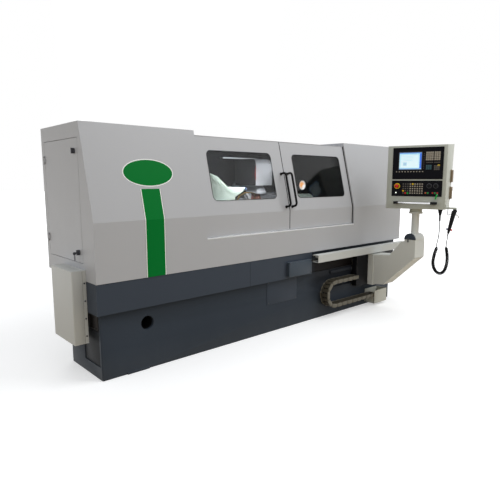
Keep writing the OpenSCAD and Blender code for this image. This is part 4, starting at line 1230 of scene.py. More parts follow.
@dataclass
class Bed(Builder):
    """The cast bed, its skirt and its covers."""

    casting_edge: float = 0.009
    box_face: float = -0.470
    box_x: Pair = (-0.051, 0.269)
    box_z: Pair = (0.502, 0.644)
    cover_face: float = -0.397
    cover_x: Pair = (-0.268, 0.131)
    cover_z: Pair = (0.260, 0.484)
    plate_low: Point = (-1.859, -0.365, 0.092)
    plate_high: Point = (-1.855, -0.105, 0.346)
    block_low: Point = (-1.861, -0.340, 0.352)
    block_high: Point = (-1.835, -0.190, 0.462)
    cable_x: Pair = (-1.848, -1.850)
    cable_y: Point = (-0.320, -0.290, -0.235)
    hole: Point = (1.5, -0.18, 0.354)
    seam_x: Pair = (-0.5135, -0.5065)

    def build(self) -> None:
        """Soften the casting and dress the covers."""
        self.rounded("machine_bed", Shop.BED, self.casting_edge, 3)
        self.dress(Shop.SLATE, "front_skirt")
        self.covers()
        self.cable_block()
        self.cover_screws()
        self.hole_shade()
        self.seam_and_end_shade()

    def covers(self) -> None:
        """The small box on the skirt, the plinth cover, and the pocket plate in a darker slate that
        paints the pocket's shade.
        """
        (x0, x1), (z0, z1), y = self.box_x, self.box_z, self.box_face
        tub = Bench.plate("box_tub", (x0 + 0.003, y + 0.006, z0 + 0.003),
                          (x1 - 0.003, -0.436, z1 - 0.003), 0.006, 0.001)
        lid = Bench.plate("box_lid", (x0, y, z0), (x1, y + 0.008, z1), 0.008, 0.0025)
        self.add(Bench.joined("skirt_box", [tub, lid]), Shop.BOX, node="base_covers")
        (x0, x1), (z0, z1), y = self.cover_x, self.cover_z, self.cover_face
        self.add(Bench.plate("plinth_cover", (x0, y, z0), (x1, y + 0.004, z1), 0.003, 0.001),
                 Shop.SLATE)
        # The plate at the back of the end pocket takes the darker slate: painted shade of the pocket.
        self.add(Bench.block("pocket_plate", self.plate_low, self.plate_high, 0.0008), Shop.POCKET_SHADE)

    def cable_block(self) -> None:
        """The brown terminal block in the end pocket, with the cables that leave it."""
        block = Bench.block("cable_block", self.block_low, self.block_high)
        with Bench.editing(block) as mesh:
            Bench.pick(mesh, block, lambda place, normal: normal.x < -0.9)
            bpy.ops.mesh.inset(thickness=0.010)
            Bench.extrude((0.006, 0, 0))
        self.add(Bench.soften(block, 0.002), Shop.BROWN)
        low, high = self.cable_x
        cables = [Bench.tube(f"cable_{i}", [
            (low, y, 0.458), (low, y, 0.475), (high, y + 0.004, 0.500),
            (high, y + 0.006, 0.540)], 0.005) for i, y in enumerate(self.cable_y)]
        self.add(Bench.joined("block_cables", cables), Shop.RUBBER)

    def cover_screws(self) -> None:
        """Screws in the corners of the plinth cover and of the small box."""
        for name, (x0, x1), (z0, z1), y, inset in (
                ("plinth_cover_screws", self.cover_x, self.cover_z, self.cover_face, 0.018),
                ("skirt_box_screws", self.box_x, self.box_z, self.box_face, 0.014)):
            places = [moved(x, y, z) for x in (x0 + inset, x1 - inset)
                      for z in (z0 + inset, z1 - inset)]
            self.add(Bench.screws(name, places, 0.0055, 0.0025), Shop.BLACK_STEEL)

    def hole_shade(self) -> None:
        """Black cups inside the transport holes: painted shade, so that they read as deep."""
        x, y, z = self.hole
        for name, side in (("left", -x), ("right", x)):
            plug = Bench.turned(name + "_transport_shade", [
                (0.0, 0.0), (0.0505, 0.0), (0.0505, 0.19), (0.0515, 0.19), (0.0515, -0.01),
                (0.0, -0.01)])
            self.add(plug, Shop.HANDLE, moved(side, y, z) @ spun(90, "X"),
                     slot="chamber_paint")

    def seam_and_end_shade(self) -> None:
        """The rubber strip in the seam of the skirt, and a dark strip at its right end that is painted
        shade of the gap there.
        """
        low, high = box_of("front_skirt")
        # The end strip stands in for the shade of the gap at the skirt's right end.
        for name, x0, x1 in (("skirt_seam", *self.seam_x),
                             ("skirt_end_shade", high.x - 0.001, high.x + 0.007)):
            self.add(Bench.block(name, (x0, low.y + 0.0005, low.z + 0.001),
                                 (x1, low.y + 0.040, high.z - 0.001), 0.0004), Shop.RUBBER)


# ---------- enclosure ----------


@dataclass
class Enclosure(Builder):
    """The folded sheets round the machine, with stripe, badge and seals, the seals also painting the
    shade of the door gaps.
    """

    front_y: float = -0.440
    door_y: float = -0.420
    skin_z: float = 0.705
    crease_z: float = 1.120
    lean: float = math.atan2(0.167, 0.670)
    stripe: Pair = (-1.518, -1.354)
    stripe_border: float = 0.007
    stripe_line: float = 0.002
    stripe_top: float = 0.2247
    film: float = 0.0006
    badge_film: float = 0.0011
    badge_border: float = 0.007
    seal_foot: float = 0.947
    sill_z: Pair = (0.933, 0.9426)
    badge_middle: Pair = (-1.431, 0.343)
    badge_size: Pair = (0.413, 0.204)
    screw: Pair = (0.007, 0.004)

    def slope(self, y: float) -> Matrix:
        """From the leaning front's own axes to the machine's."""
        return moved(0, y, self.crease_z) @ Matrix.Rotation(-self.lean, 4, "X")

    def folded_strip(self, name: str, x0: float, x1: float) -> Obj:
        """A thin strip that runs up the front and over the fold.

        Args:
            name: the piece's name.
            x0: its left edge.
            x1: its right edge.

        Returns:
            The strip.
        """
        piece = Bench.upright(name, (x0, x1), (self.skin_z, self.crease_z), self.front_y)
        with Bench.editing(piece) as mesh:
            Bench.pick_edges(mesh, piece, lambda a, b: min(a.z, b.z) > self.crease_z - 1e-4)
            Bench.extrude((0, self.stripe_top * math.sin(self.lean),
                           self.stripe_top * math.cos(self.lean)))
            bpy.ops.mesh.select_all(action="SELECT")
            bpy.ops.mesh.normals_make_consistent(inside=False)
        Bench.only(piece)
        wall = piece.modifiers.new("wall", "SOLIDIFY")
        wall.thickness = self.film
        wall.offset = 1.0 if piece.data.polygons[0].normal.y < 0 else -1.0
        bpy.ops.object.modifier_apply(modifier=wall.name)
        return piece

    def folded_lip(self, name: str, x: Sequence[float], y: Pair, foot: float, rise: float,
                   edge: float) -> Obj:
        """A lip that stands on the door's plane and leans back above the fold.

        Args:
            name: the piece's name.
            x: its left and right edge.
            y: its front and back, from the plane of the doors.
            foot: how high it starts.
            rise: how far it runs up the leaning part.
            edge: width of its soft edges.

        Returns:
            The lip.
        """
        lower = Bench.block("lower", (x[0], self.door_y + y[0], foot),
                            (x[1], self.door_y + y[1], self.crease_z))
        upper = Bench.block("upper", (x[0], y[0], 0), (x[1], y[1], rise))
        upper.data.transform(self.slope(self.door_y))
        return Bench.soften(Bench.joined(name, [lower, upper]), edge)

    def colours(self) -> None:
        """The green stripe between white borders, and the plain oval above it."""
        x0, x1 = self.stripe
        border, line = self.stripe_border, self.stripe_line
        for name, a, b, finish in (("green_stripe", x0 + border, x1 - border, Shop.GREEN),
                                   ("stripe_border_left", x0, x0 + border, Shop.WHITE),
                                   ("stripe_border_right", x1 - border, x1, Shop.WHITE),
                                   ("stripe_line_left", x0 - line, x0, Shop.SEAL),
                                   ("stripe_line_right", x1, x1 + line, Shop.SEAL)):
            self.add(self.folded_strip(name, a, b), finish, slot="enclosure_paint")
        x, z = self.badge_middle
        for name, finish, inset, lift in (("badge_border", Shop.WHITE, 0.0, self.film),
                                          ("badge_field", Shop.GREEN, self.badge_border,
                                           self.badge_film)):
            disc = Bench.rod(name, 0.5, (0, -lift, 0), lift, Axis.Y, 96)
            wide, high = (extent - 2 * inset for extent in self.badge_size)
            self.add(disc, finish, self.slope(self.front_y) @ moved(x, 0, z)
                     @ Matrix.Diagonal((wide, 1.0, high, 1.0)))

    def seals(self) -> None:
        """Dark rubber lips where the doors slide behind the end sections; they also paint the shade of
        the gap there.
        """
        edge = -box_of("left_front_panel")[1].x
        rise = (box_of("left_door")[1].z - self.crease_z) / math.cos(self.lean)
        for name, span in (("left", (-edge + 0.001, -edge + 0.005)),
                           ("right", (edge - 0.007, edge - 0.001))):
            self.add(self.folded_lip(f"door_seal_{name}", span, (-0.006, -0.001), self.seal_foot,
                                     rise, 0.0008), Shop.RUBBER)

    def cover_screws(self) -> None:
        """Screws round the covers on the rear and on the right end."""
        y, x = box_of("rear_panel")[1].y, box_of("right_end_panel")[1].x
        rear, side = [], []
        for middle in (-1.4, -0.47, 0.47, 1.4):
            spots = [(a, z) for a in (-0.38, -0.13, 0.13, 0.38) for z in (0.780, 1.670)]
            spots += [(a, z) for z in (1.00, 1.225, 1.45) for a in (-0.38, 0.38)]
            rear += [moved(middle + a, y, z) @ spun(180, "Z") for a, z in spots]
        spots = [(b, z) for b in (-0.21, 0.07, 0.35) for z in (0.85, 1.66)]
        spots += [(b, z) for b in (-0.21, 0.35) for z in (1.12, 1.39)]
        side += [moved(x, b, z) @ spun(90, "Z") for b, z in spots]
        self.add(Bench.screws("rear_cover_screws", rear, *self.screw), Shop.STEEL)
        self.add(Bench.screws("end_cover_screws", side, *self.screw), Shop.STEEL)

    def sill_trim(self) -> None:
        """The bright strip on the front of the sill."""
        end = box_of("left_front_panel")[1].x
        low, high = self.sill_z
        self.add(Bench.block("sill_trim", (end, self.front_y - 0.0012, low),
                             (-end, self.front_y + 0.018, high), 0.0008), Shop.SILL)

    def build(self) -> None:
        """Dress the sheets and add what is stuck or screwed to them."""
        self.dress(Shop.SHEET, "left_front_panel", "left_end_panel", "right_front_panel",
                   "right_end_panel", "rear_panel", "access_door", "front_apron")
        self.dress(Shop.ROOF, "roof_panel")
        self.dress(Shop.DARK, "chamber_walls")
        self.dress(Shop.TUBE, "work_lights")
        self.colours()
        self.seals()
        self.cover_screws()
        self.sill_trim()


@dataclass
class Doors(Builder):
    """The sliding doors with their panes, gaskets and handles."""

    across: Pair = (0.142, 0.865)
    up: Pair = (0.118, 0.536)
    corner: float = 0.042
    gasket: float = 0.004
    rim: float = 0.002
    edge_foot: float = 0.950
    edge_x: Pair = (0.0005, 0.0034)

    def build(self, shell: Enclosure) -> None:
        """Dress both doors, and add their gaskets and the rubber edges where they meet.

        Args:
            shell: the sheets that the doors slide behind.
        """
        low, high = self.up
        rim = self.rim
        for side, sign in (("left", -1), ("right", 1)):
            body = f"{side}_door"
            self.dress(Shop.SHEET, body)
            self.dress(Shop.PANE, f"{side}_window")
            self.dress(Shop.HANDLE, f"{side}_door_handle")
            x0, x1 = sorted(sign * x for x in self.across)
            ring = Bench.ring(f"{side}_gasket", (x0 - rim, -0.0022, low - rim),
                              (x1 + rim, 0.002, high + rim), self.corner + rim, self.gasket)
            self.add(ring, Shop.SEAL, shell.slope(shell.door_y), body)
            top = box_of(body)[1].z - shell.crease_z
            self.add(shell.folded_lip(
                f"{side}_door_edge", sorted(sign * x for x in self.edge_x), (-0.0015, 0.004),
                self.edge_foot, (top - 0.003) / math.cos(shell.lean), 0.0006), Shop.RUBBER, body=body)


@dataclass
class SideAccess(Builder):
    """The locks of the side door and the junction box at the left end."""

    def build(self) -> None:
        """Dress the locks, the box and its screws, and add the thin dark seals."""
        self.dress(Shop.BLACK_STEEL, "upper_lock", "lower_lock", "cover_screws")
        self.dress(Shop.BEIGE, "junction_box")
        self.rounded("junction_box_lid", Shop.BEIGE, 0.0018, limit=50.0)
        low, high = box_of("junction_box")
        for name, y0, y1 in (("front", low.y - 0.0003, low.y + 0.001),
                             ("rear", high.y - 0.001, high.y + 0.0003)):
            self.add(Bench.block(f"box_seal_{name}", (low.x - 0.0006, y0, low.z + 0.004),
                                 (low.x + 0.0006, y1, high.z - 0.004), 0.0002), Shop.KEY_DARK)
        low, high = box_of("access_door")
        self.add(Bench.block("access_door_seal", (-1.8985, high.y + 0.0002, low.z + 0.004),
                             (-1.8900, high.y + 0.0028, high.z - 0.004), 0.0005), Shop.RUBBER)


# ---------- inside the chamber ----------


@dataclass
class Chamber(Builder):
    """The heads, the wheel and the lamps behind the panes."""

    tube_x: Pair = (-0.140, 0.320)
    tube_place: Pair = (0.396, 1.626)
    lamp_place: Point = (0.713, 0.060, 1.345)
    hood_edge: float = -0.100
    hood_front: float = -0.060
    hood_low: float = 1.34
    rim_z: Pair = (1.405, 1.540)
    lining_x: float = 0.955
    lining_z: Pair = (0.950, 1.700)
    rim_steps: int = 8
    nose_low: Point = (-0.372, -0.204, 1.306)
    nose_high: Point = (-0.342, 0.022, 1.336)
    folds: int = 9
    fold_start: Pair = (-0.474, 1.248)
    fold_run: Pair = (0.118, 0.058)

    PIPE = ((-0.500, -0.206, 1.190), (-0.490, -0.230, 1.215), (-0.460, -0.240, 1.262),
            (-0.400, -0.242, 1.288), (-0.320, -0.242, 1.290), (-0.275, -0.236, 1.276),
            (-0.250, -0.214, 1.246), (-0.240, -0.186, 1.218))

    @property
    def wall(self) -> float:
        """Where the rear wall of the chamber is in Y."""
        return box_of("work_lights")[1].y

    def build(self) -> None:
        """Dress the heads and add what shows through the panes."""
        for node in ("workhead", "tailstock"):
            self.rounded(node, Shop.PALE, 0.008, 3, 35.0, "work_table")
        self.rounded("wheelhead", Shop.WHEELHEAD, 0.010, 3, body="wheelhead")
        guard = self.rounded("wheel_guard", Shop.WHEELHEAD, 0.0018, body="wheelhead")
        guard.data.materials.append(Shop.DARK.material())
        for face in guard.data.polygons:
            if face.normal.x < -0.5 and face.center.z > self.hood_low:
                face.material_index = 1
        self.dress(Shop.STEEL, "work_table", "work_spindle", "tailstock_quill")
        self.dress(Shop.WHEEL, "grinding_wheel")
        self.tube_light()
        self.round_lamp()
        self.lining()
        self.guard_rim()
        self.workhead_parts()

    def tube_light(self) -> None:
        """The light tube and its sockets on the rear wall."""
        x0, x1 = self.tube_x
        y, z = self.tube_place
        tube = Bench.rod("light_tube", 0.006, (x0, y, z), x1 - x0, Axis.X, 24)
        self.add(Bench.soften(tube, 0.002, 2, 50.0), Shop.TUBE)
        ends = [Bench.block(f"tube_socket_{i}", (x, y - 0.014, z - 0.014),
                            (x + 0.020, self.wall, z + 0.014))
                for i, x in enumerate((x0 - 0.019, x1 - 0.001))]
        sockets = Bench.soften(Bench.joined("tube_sockets", ends), 0.003)
        self.add(sockets, Shop.BLACK, node="work_lights")

    def round_lamp(self) -> None:
        """The round lamp on its stem from the rear wall."""
        stem = self.wall - self.lamp_place[1]
        place = moved(*self.lamp_place) @ spun(-90, "X")
        shade = Bench.turned("lamp_shade", [
            (0.0, 0.016), (0.040, 0.014), (0.054, 0.003), (0.058, 0.0), (0.060, 0.002),
            (0.060, 0.014), (0.056, 0.042), (0.030, 0.058), (0.010, 0.062), (0.008, 0.070),
            (0.008, stem), (0.0, stem)], 48)
        self.add(shade, Shop.BLACK_STEEL, place)
        lens = Bench.turned("lamp_lens", [
            (0.0, 0.001), (0.024, 0.0015), (0.046, 0.004), (0.053, 0.008), (0.053, 0.0145),
            (0.0, 0.0165)], 48)
        self.add(lens, Shop.LAMP, place)

    def lining(self) -> None:
        """The dark pressed sheet that lines the rear of the chamber."""
        low, high = self.lining_z
        sheet = Bench.block("rear_lining", (-self.lining_x, self.wall - 0.0025, low),
                            (self.lining_x, self.wall - 0.0005, high))
        with Bench.editing(sheet) as mesh:
            Bench.pick(mesh, sheet, lambda place, normal: normal.y < -0.9)
            bpy.ops.mesh.inset(thickness=0.030)
            bpy.ops.mesh.inset(thickness=0.004, depth=-0.001)
        self.add(Bench.soften(sheet, 0.0003), Shop.DARK)

    def guard_rim(self) -> None:
        """The red edge of the hood over the wheel."""
        low, high = self.rim_z
        points = []
        for step in range(self.rim_steps + 1):
            share = step / self.rim_steps
            bow = 0.006 * math.sin(math.pi * share)
            points.append((self.hood_edge + 0.001 - bow, self.hood_front,
                           low + (high - low) * share))
        self.add(Bench.tube("guard_rim", points, 0.0055), Shop.RIM, body="wheelhead")

    def workhead_parts(self) -> None:
        """The blue nose cap, the black bellows under it and the brass coolant pipe."""
        nose = Bench.block("nose_cap", self.nose_low, self.nose_high, 0.006, 3)
        self.add(nose, Shop.NOSE_BLUE, body="work_table")
        folds = []
        for index in range(self.folds):
            share = (index + 0.5) / self.folds
            x, z = (start + run * share for start, run in zip(self.fold_start, self.fold_run))
            folds.append(Bench.block(f"fold_{index}", (x - 0.009, -0.206, z - 0.010),
                                     (x + 0.009, 0.018, z + 0.004), 0.003))
        self.add(Bench.joined("nose_bellows", folds), Shop.RUBBER, body="work_table")
        self.add(Bench.tube("coolant_pipe", self.PIPE, 0.006), Shop.BRASS, body="work_table")


# ---------- pendant rail, chain and arm ----------


@dataclass
class DragChain(Builder):
    """The chain that carries the pendant's cables."""

    front: float = -0.512
    back: float = -0.415
    height: float = 0.038
    inner: float = 0.0175
    wall: float = 0.004
    mid: float = 0.124
    bend: Pair = (0.6105, 0.246)
    runs: tuple[int, int, int] = (8, 9, 16)
    end_length: float = 0.045
    strands: tuple[Pair, ...] = ((-0.492, 0.006), (-0.470, 0.009), (-0.441, 0.008))

    @property
    def pitch(self) -> float:
        """Distance between two pivots."""
        return 2 * self.mid * math.sin(math.pi / 2 / self.runs[1])

    def pivots(self) -> list[Vector]:
        """The pivots from the arm round the bend to the trough."""
        x, z = self.bend
        top, arc, low = self.runs
        places = [Vector((x + (top - i) * self.pitch, 0, z + self.mid)) for i in range(top)]
        for i in range(arc + 1):
            angle = math.pi * i / arc
            places.append(Vector((x - self.mid * math.sin(angle), 0,
                                  z + self.mid * math.cos(angle))))
        places += [Vector((x + (i + 1) * self.pitch, 0, z - self.mid)) for i in range(low)]
        return places

    def cheeks(self, name: str, radius: float, step: float) -> Obj:
        """The two side plates of a link, from the origin along X.

        Args:
            name: the piece's name.
            radius: half the height of the plates.
            step: how far the plates stand in from the chain's sides.

        Returns:
            Both plates as one piece.
        """
        return Bench.joined(name, [
            Bench.plate(f"{name}_{side}", (-radius, y, -radius),
                        (self.pitch + radius, y + self.wall, radius), radius * 0.97, 0.0006)
            for side, y in (("front", self.front + step), ("back", self.back - self.wall - step))])

    def bars(self) -> Obj:
        """The two cross bars of a link."""
        return Bench.joined("link_bars", [
            Bench.block("bar", (self.pitch * 0.05, self.front + 0.001, z),
                        (self.pitch * 0.95, self.back - 0.001, z + 0.004), 0.0012)
            for z in (-self.inner + 0.002, self.inner - 0.006)])

    def pins(self) -> Obj:
        """The two pins of a pivot, each a stud with a sunk middle."""
        pair = []
        for y, turn in ((self.front, 90), (self.back, -90)):
            stud = Bench.turned("pin", [
                (0.0, 0.0002), (0.0030, 0.0002), (0.0036, 0.0010), (0.0066, 0.0010),
                (0.0074, 0.0003), (0.0074, -0.0080), (0.0, -0.0080)], 16)
            stud.data.transform(moved(0, y, 0) @ spun(turn, "X"))
            pair.append(stud)
        return Bench.joined("link_pins", pair)

    def ends(self) -> list[Obj]:
        """The brackets at the arm and in the trough."""
        pieces = []
        for index, pivot in enumerate((self.pivots()[0], self.pivots()[-1])):
            end = pivot.x + self.end_length
            low, high = pivot.z - self.inner, pivot.z + self.inner
            for y in (self.front + self.wall, self.back - 2 * self.wall):
                pieces.append(Bench.block(f"end_{index}", (pivot.x - 0.002, y, low),
                                          (end, y + self.wall, high), 0.001))
            pieces.append(Bench.block(
                f"end_foot_{index}", (end - 0.004, self.front + 0.005, low + 0.001),
                (end, self.back - 0.005, high - 0.001), 0.0008))
        return pieces

    def cables(self) -> Obj:
        """Three cables that run through the links."""
        line = self.pivots()
        reach = Vector((self.end_length - 0.004, 0, 0))
        line = [line[0] + reach, *line, line[-1] + reach]
        return Bench.joined("chain_cables", [
            Bench.tube(f"strand_{i}", [(p.x, y, p.z) for p in line], radius)
            for i, (y, radius) in enumerate(self.strands)])

    def follow(self, piece: Obj, finish: Finish) -> None:
        """Paint a piece of the chain and bake its place into its mesh.

        Args:
            piece: the piece.
            finish: its finish.
        """
        piece.data.materials.clear()
        piece.data.materials.append(finish.material())
        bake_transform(piece)
        LOG.info("%s follows the arm", piece.name)

    def build(self) -> None:
        """Lay the links, paint the chain and dress its end box."""
        line = self.pivots()
        along = []
        for here, there in zip(line, line[1:]):
            step = there - here
            along.append(moved(*here) @ Matrix.Rotation(-math.atan2(step.z, step.x), 4, "Y"))
        plates = [self.cheeks("outer", self.height / 2, 0.0),
                  self.cheeks("inner", self.inner, self.wall - 0.0002)]
        chain = Bench.laid("chain_cheeks", plates, along, self.ends())
        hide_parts("drag_chain")
        self.follow(chain, Shop.CHAIN)
        self.follow(Bench.laid("chain_bars", [self.bars()], along), Shop.CHAIN_DARK)
        self.follow(Bench.laid("chain_pins", [self.pins()], [moved(*place) for place in line]),
                    Shop.CHAIN)
        self.follow(self.cables(), Shop.RUBBER)
        self.dress(Shop.TROUGH, "chain_end_box")


@dataclass
class ArmAndRail(Builder):
    """The rail, the arm with its carriage, and the post."""

    knuckle: Point = (1.2075, -0.962, 0.800)
    cap_radius: float = 0.0625
    cap_cut: float = 0.7968
    plate_low: Point = (0.9995, -0.4806, 0.2615)
    plate_high: Point = (1.4005, -0.4133, 0.5915)

    def build(self) -> None:
        """Dress the rail, soften the post and add the carriage's plate and the knuckle's cap."""
        self.dress(Shop.RAIL, "slide_rail")
        self.dress(Shop.LIT_ARM, "pendant_arm")
        self.dress(Shop.BLACK, "clamp_lever")
        self.rounded("pendant_post", Shop.LIT_ARM, 0.003, 3, 50.0, "pendant_post")
        plate = Bench.block("carriage_plate", self.plate_low, self.plate_high, 0.002)
        self.add(plate, Shop.HANDLE, body="pendant_arm", slot="black_steel")
        dome = Bench.rod("knuckle_cap", self.cap_radius, self.knuckle, 0.0128, Axis.X, 64)
        with Bench.editing(dome, "SELECT"):
            bpy.ops.mesh.bisect(plane_co=(1.21, self.knuckle[1], self.cap_cut),
                                plane_no=(0, 0, 1), clear_inner=True, use_fill=True)
        self.add(Bench.soften(dome, 0.002, 2, 50.0), Shop.SLATE, body="pendant_arm")


# ---------- pendant ----------


@dataclass(frozen=True)
class KeyField:
    """A grid of keys on a panel, from its lowest left key."""

    name: str
    finish: Finish
    place: Pair
    count: tuple[int, int]
    pitch: Pair
    size: Pair


@dataclass
class Pendant(Builder):
    """The pendant's housing, panels and controls, in the pendant's own axes."""

    body: str = "pendant"
    middle: float = 0.020
    face: float = -0.126
    upper: float = 1.409
    lower: float = 1.240
    housing_y: float = -0.122
    screen_x: Pair = (-0.178, 0.037)
    screen_z: Pair = (0.097, 0.262)
    stop: Pair = (-0.188, 1.341)
    knob_z: float = 1.344
    row_z: float = 1.275
    rear_depth: Pair = (0.255, 0.345)
    rear_height: float = 0.647
    grip_blocks: tuple[Pair, Pair] = ((-0.190, -0.144), (0.166, 0.228))

    FIELDS = (
        KeyField("letter_keys", Shop.KEY, (0.078, 0.182), (4, 5), (0.018, 0.017), (0.015, 0.014)),
        KeyField("number_keys", Shop.KEY, (0.156, 0.182), (3, 5), (0.019, 0.017), (0.016, 0.014)),
        KeyField("cursor_keys", Shop.TEAL, (0.082, 0.094), (3, 3), (0.018, 0.0155), (0.015, 0.013)),
        KeyField("input_keys", Shop.KEY_DARK, (0.157, 0.088), (3, 3), (0.018, 0.016),
                 (0.015, 0.013)),
        KeyField("soft_keys", Shop.KEY, (-0.206, 0.070), (10, 1), (0.028, 0.02), (0.012, 0.008)),
        KeyField("side_keys", Shop.KEY_DIM, (0.056, 0.102), (1, 8), (0.02, 0.020), (0.007, 0.010)),
        KeyField("mode_keys_1", Shop.KEY_DARK, (0.083, 0.158), (4, 1), (0.016, 0.02),
                 (0.013, 0.008)),
        KeyField("mode_keys_2", Shop.KEY_DARK, (0.156, 0.158), (3, 1), (0.019, 0.02),
                 (0.016, 0.008)),
        KeyField("yellow_key", Shop.YELLOW, (0.189, 0.124), (1, 1), (0.02, 0.02), (0.020, 0.016)))

    def keys(self) -> None:
        """All key fields of both panels."""
        for grid in self.FIELDS:
            self.key_field(grid, self.upper)
        for index, (x, finish) in enumerate(((-0.134, Shop.KEY_DARK), (-0.0645, Shop.KEY),
                                             (0.004, Shop.KEY))):
            self.key_field(KeyField(f"machine_keys_{index + 1}", finish, (x, 0.025), (3, 5),
                                    (0.0225, 0.0225), (0.013, 0.0125)), self.lower)

    def key_field(self, grid: KeyField, base: float) -> None:
        """One grid of keys, each a softened cap over its plain CAD key.

        Args:
            grid: the keys.
            base: the height of the panel's foot.
        """
        over = 0.0004
        key = Bench.block("key", (-over, self.face - 0.0024, -over),
                          (grid.size[0] + over, self.face + 0.0004, grid.size[1] + over), 0.0014)
        x, z = self.middle + grid.place[0], base + grid.place[1]
        places = [moved(x + column * grid.pitch[0], 0, z + row * grid.pitch[1])
                  for column in range(grid.count[0]) for row in range(grid.count[1])]
        self.add(Bench.laid(grid.name, [key], places), grid.finish, slot="black_plastic")

    def marked_keys(self) -> None:
        """Coloured caps on four keys of the lower panel."""
        marks = ((Shop.YELLOW, -0.137, 1), (Shop.RED, -0.1145, 0), (Shop.GREEN_KEY, -0.092, 0),
                 (Shop.YELLOW, -0.045, 4))
        for index, (finish, across, row) in enumerate(marks):
            x, z = self.middle + across, self.lower + 0.022 + row * 0.0225
            mark = Bench.block(f"status_key_{index + 1}", (x + 0.0015, self.face - 0.0030, z + 0.0015),
                               (x + 0.0175, self.face, z + 0.0170), 0.0014)
            self.add(mark, finish, slot="black_plastic")

    def screen(self) -> None:
        """The lit screen inside its bezel."""
        x0, x1 = (self.middle + x for x in self.screen_x)
        z0, z1 = (self.upper + z for z in self.screen_z)
        glass = Bench.upright("screen", (x0, x1), (z0, z1), self.face + 0.0010)
        with Bench.editing(glass, "SELECT"):
            bpy.ops.mesh.subdivide(number_cuts=3)
        self.add(glass, Shop.SCREEN)
        bezel = Bench.ring("screen_bezel", (x0 - 0.006, self.face - 0.0016, z0 - 0.006),
                           (x1 + 0.006, self.face + 0.0012, z1 + 0.006), 0.004, 0.007)
        self.add(bezel, Shop.BLACK)

    def at(self, x: float, z: float) -> Matrix:
        """Place of a turned control whose top points at the operator."""
        return moved(self.middle + x, self.face, z) @ spun(90, "X")

    def controls(self) -> None:
        """Stop button and override knobs."""
        collar = Bench.turned("stop_collar", [
            (0.0195, 0.0052), (0.027, 0.0056), (0.0285, 0.004), (0.0285, 0.0), (0.0195, 0.0)])
        self.add(collar, Shop.YELLOW, self.at(*self.stop))
        head = Bench.turned("stop_head", [
            (0.0, 0.0342), (0.008, 0.0338), (0.015, 0.0318), (0.0186, 0.0285), (0.019, 0.024),
            (0.0175, 0.021), (0.0112, 0.0198), (0.0112, 0.0), (0.0, 0.0)])
        self.add(head, Shop.RED, self.at(*self.stop), "stop_button", "stop_button")
        for node, x in (("feed_knob", 0.121), ("speed_knob", 0.182)):
            place = self.at(x, self.knob_z)
            knob = Bench.turned("knob", [
                (0.0, 0.0218), (0.013, 0.0216), (0.0155, 0.020), (0.0168, 0.008),
                (0.0170, 0.0042), (0.0055, 0.0038), (0.005, 0.0), (0.0, 0.0)])
            rib = Bench.block("rib", (-0.0028, -0.0158, 0.020), (0.0028, 0.0158, 0.0258), 0.0012)
            self.add(Bench.joined(node + "_grip", [knob, rib]), Shop.HANDLE, place, node, node)
            dial = Bench.turned(node + "_dial", [
                (0.018, 0.0018), (0.0245, 0.0020), (0.0245, 0.0), (0.018, 0.0)])
            self.add(dial, Shop.BLACK, place)

    def buttons(self) -> None:
        """The five push buttons with their bezels, and the small lamp left of them."""
        for node, x, finish in (("reset_button", 0.090, Shop.ORANGE),
                                ("feed_start_button", 0.112, Shop.GREEN_KEY),
                                ("feed_stop_button", 0.157, Shop.RED),
                                ("cycle_start_button", 0.179, Shop.GREEN_KEY),
                                ("cycle_stop_button", 0.201, Shop.RED)):
            place = self.at(x, self.row_z)
            button = Bench.turned(node + "_cap", [
                (0.0, 0.0078), (0.004, 0.0078), (0.0062, 0.0074), (0.007, 0.0064),
                (0.007, 0.0), (0.0, 0.0)], 28)
            self.add(button, finish, place, node, node)
            bezel = Bench.turned(node + "_bezel", [
                (0.0074, 0.0028), (0.0092, 0.0030), (0.0104, 0.0018), (0.0104, 0.0),
                (0.0074, 0.0)], 28)
            self.add(bezel, Shop.BLACK, place)
        led = Bench.turned("panel_led", [
            (0.0, 0.0068), (0.004, 0.0062), (0.0062, 0.005), (0.0062, 0.0), (0.0, 0.0)], 24)
        self.add(led, Shop.LED, self.at(-0.198, self.row_z))

    def key(self) -> None:
        """The switch's barrel, and the key with a green fob that hangs aslant."""
        body = "key_switch"
        spot = moved(self.middle + 0.201, self.face, self.lower + 0.020)
        barrel = Bench.turned("switch_barrel", [
            (0.0, 0.0026), (0.0040, 0.0026), (0.0052, 0.0030), (0.0060, 0.0022),
            (0.0060, -0.010), (0.0, -0.010)], 28)
        self.add(barrel, Shop.STEEL, spot @ spun(90, "X"), body, body)
        blade = Bench.block("key_blade", (-0.001, -0.0186, -0.004), (0.001, -0.002, 0.004), 0.0004)
        self.add(blade, Shop.STEEL, spot, body)
        fob = Bench.plate("key_fob", (-0.007, -0.022, -0.050), (0.007, -0.018, 0.006), 0.005,
                          0.0012)
        self.add(fob, Shop.GREEN_KEY, spot @ spun(16, "Y"), body)

    def handle(self) -> None:
        """The tube handle in its end blocks."""
        z, y = self.lower - 0.064, self.housing_y - 0.040
        start, end = self.grip_blocks[0][1], self.grip_blocks[1][0]
        bar = Bench.rod("handle_tube", 0.009, (start - 0.001, y, z), end - start + 0.002, Axis.X, 32)
        self.add(Bench.soften(bar, 0.001, 2, 60.0), Shop.BRIGHT, node="pendant_handle")
        ends = []
        for x0, x1 in self.grip_blocks:
            ends.append(Bench.block("block", (x0, y - 0.012, z - 0.013),
                                    (x1, y + 0.012, z + 0.013), 0.005, 3))
            ends.append(Bench.block("foot", (x0 + 0.008, y + 0.011, z - 0.011),
                                    (x1 - 0.008, self.housing_y, z + 0.011), 0.002))
        self.add(Bench.joined("handle_blocks", ends), Shop.HANDLE)

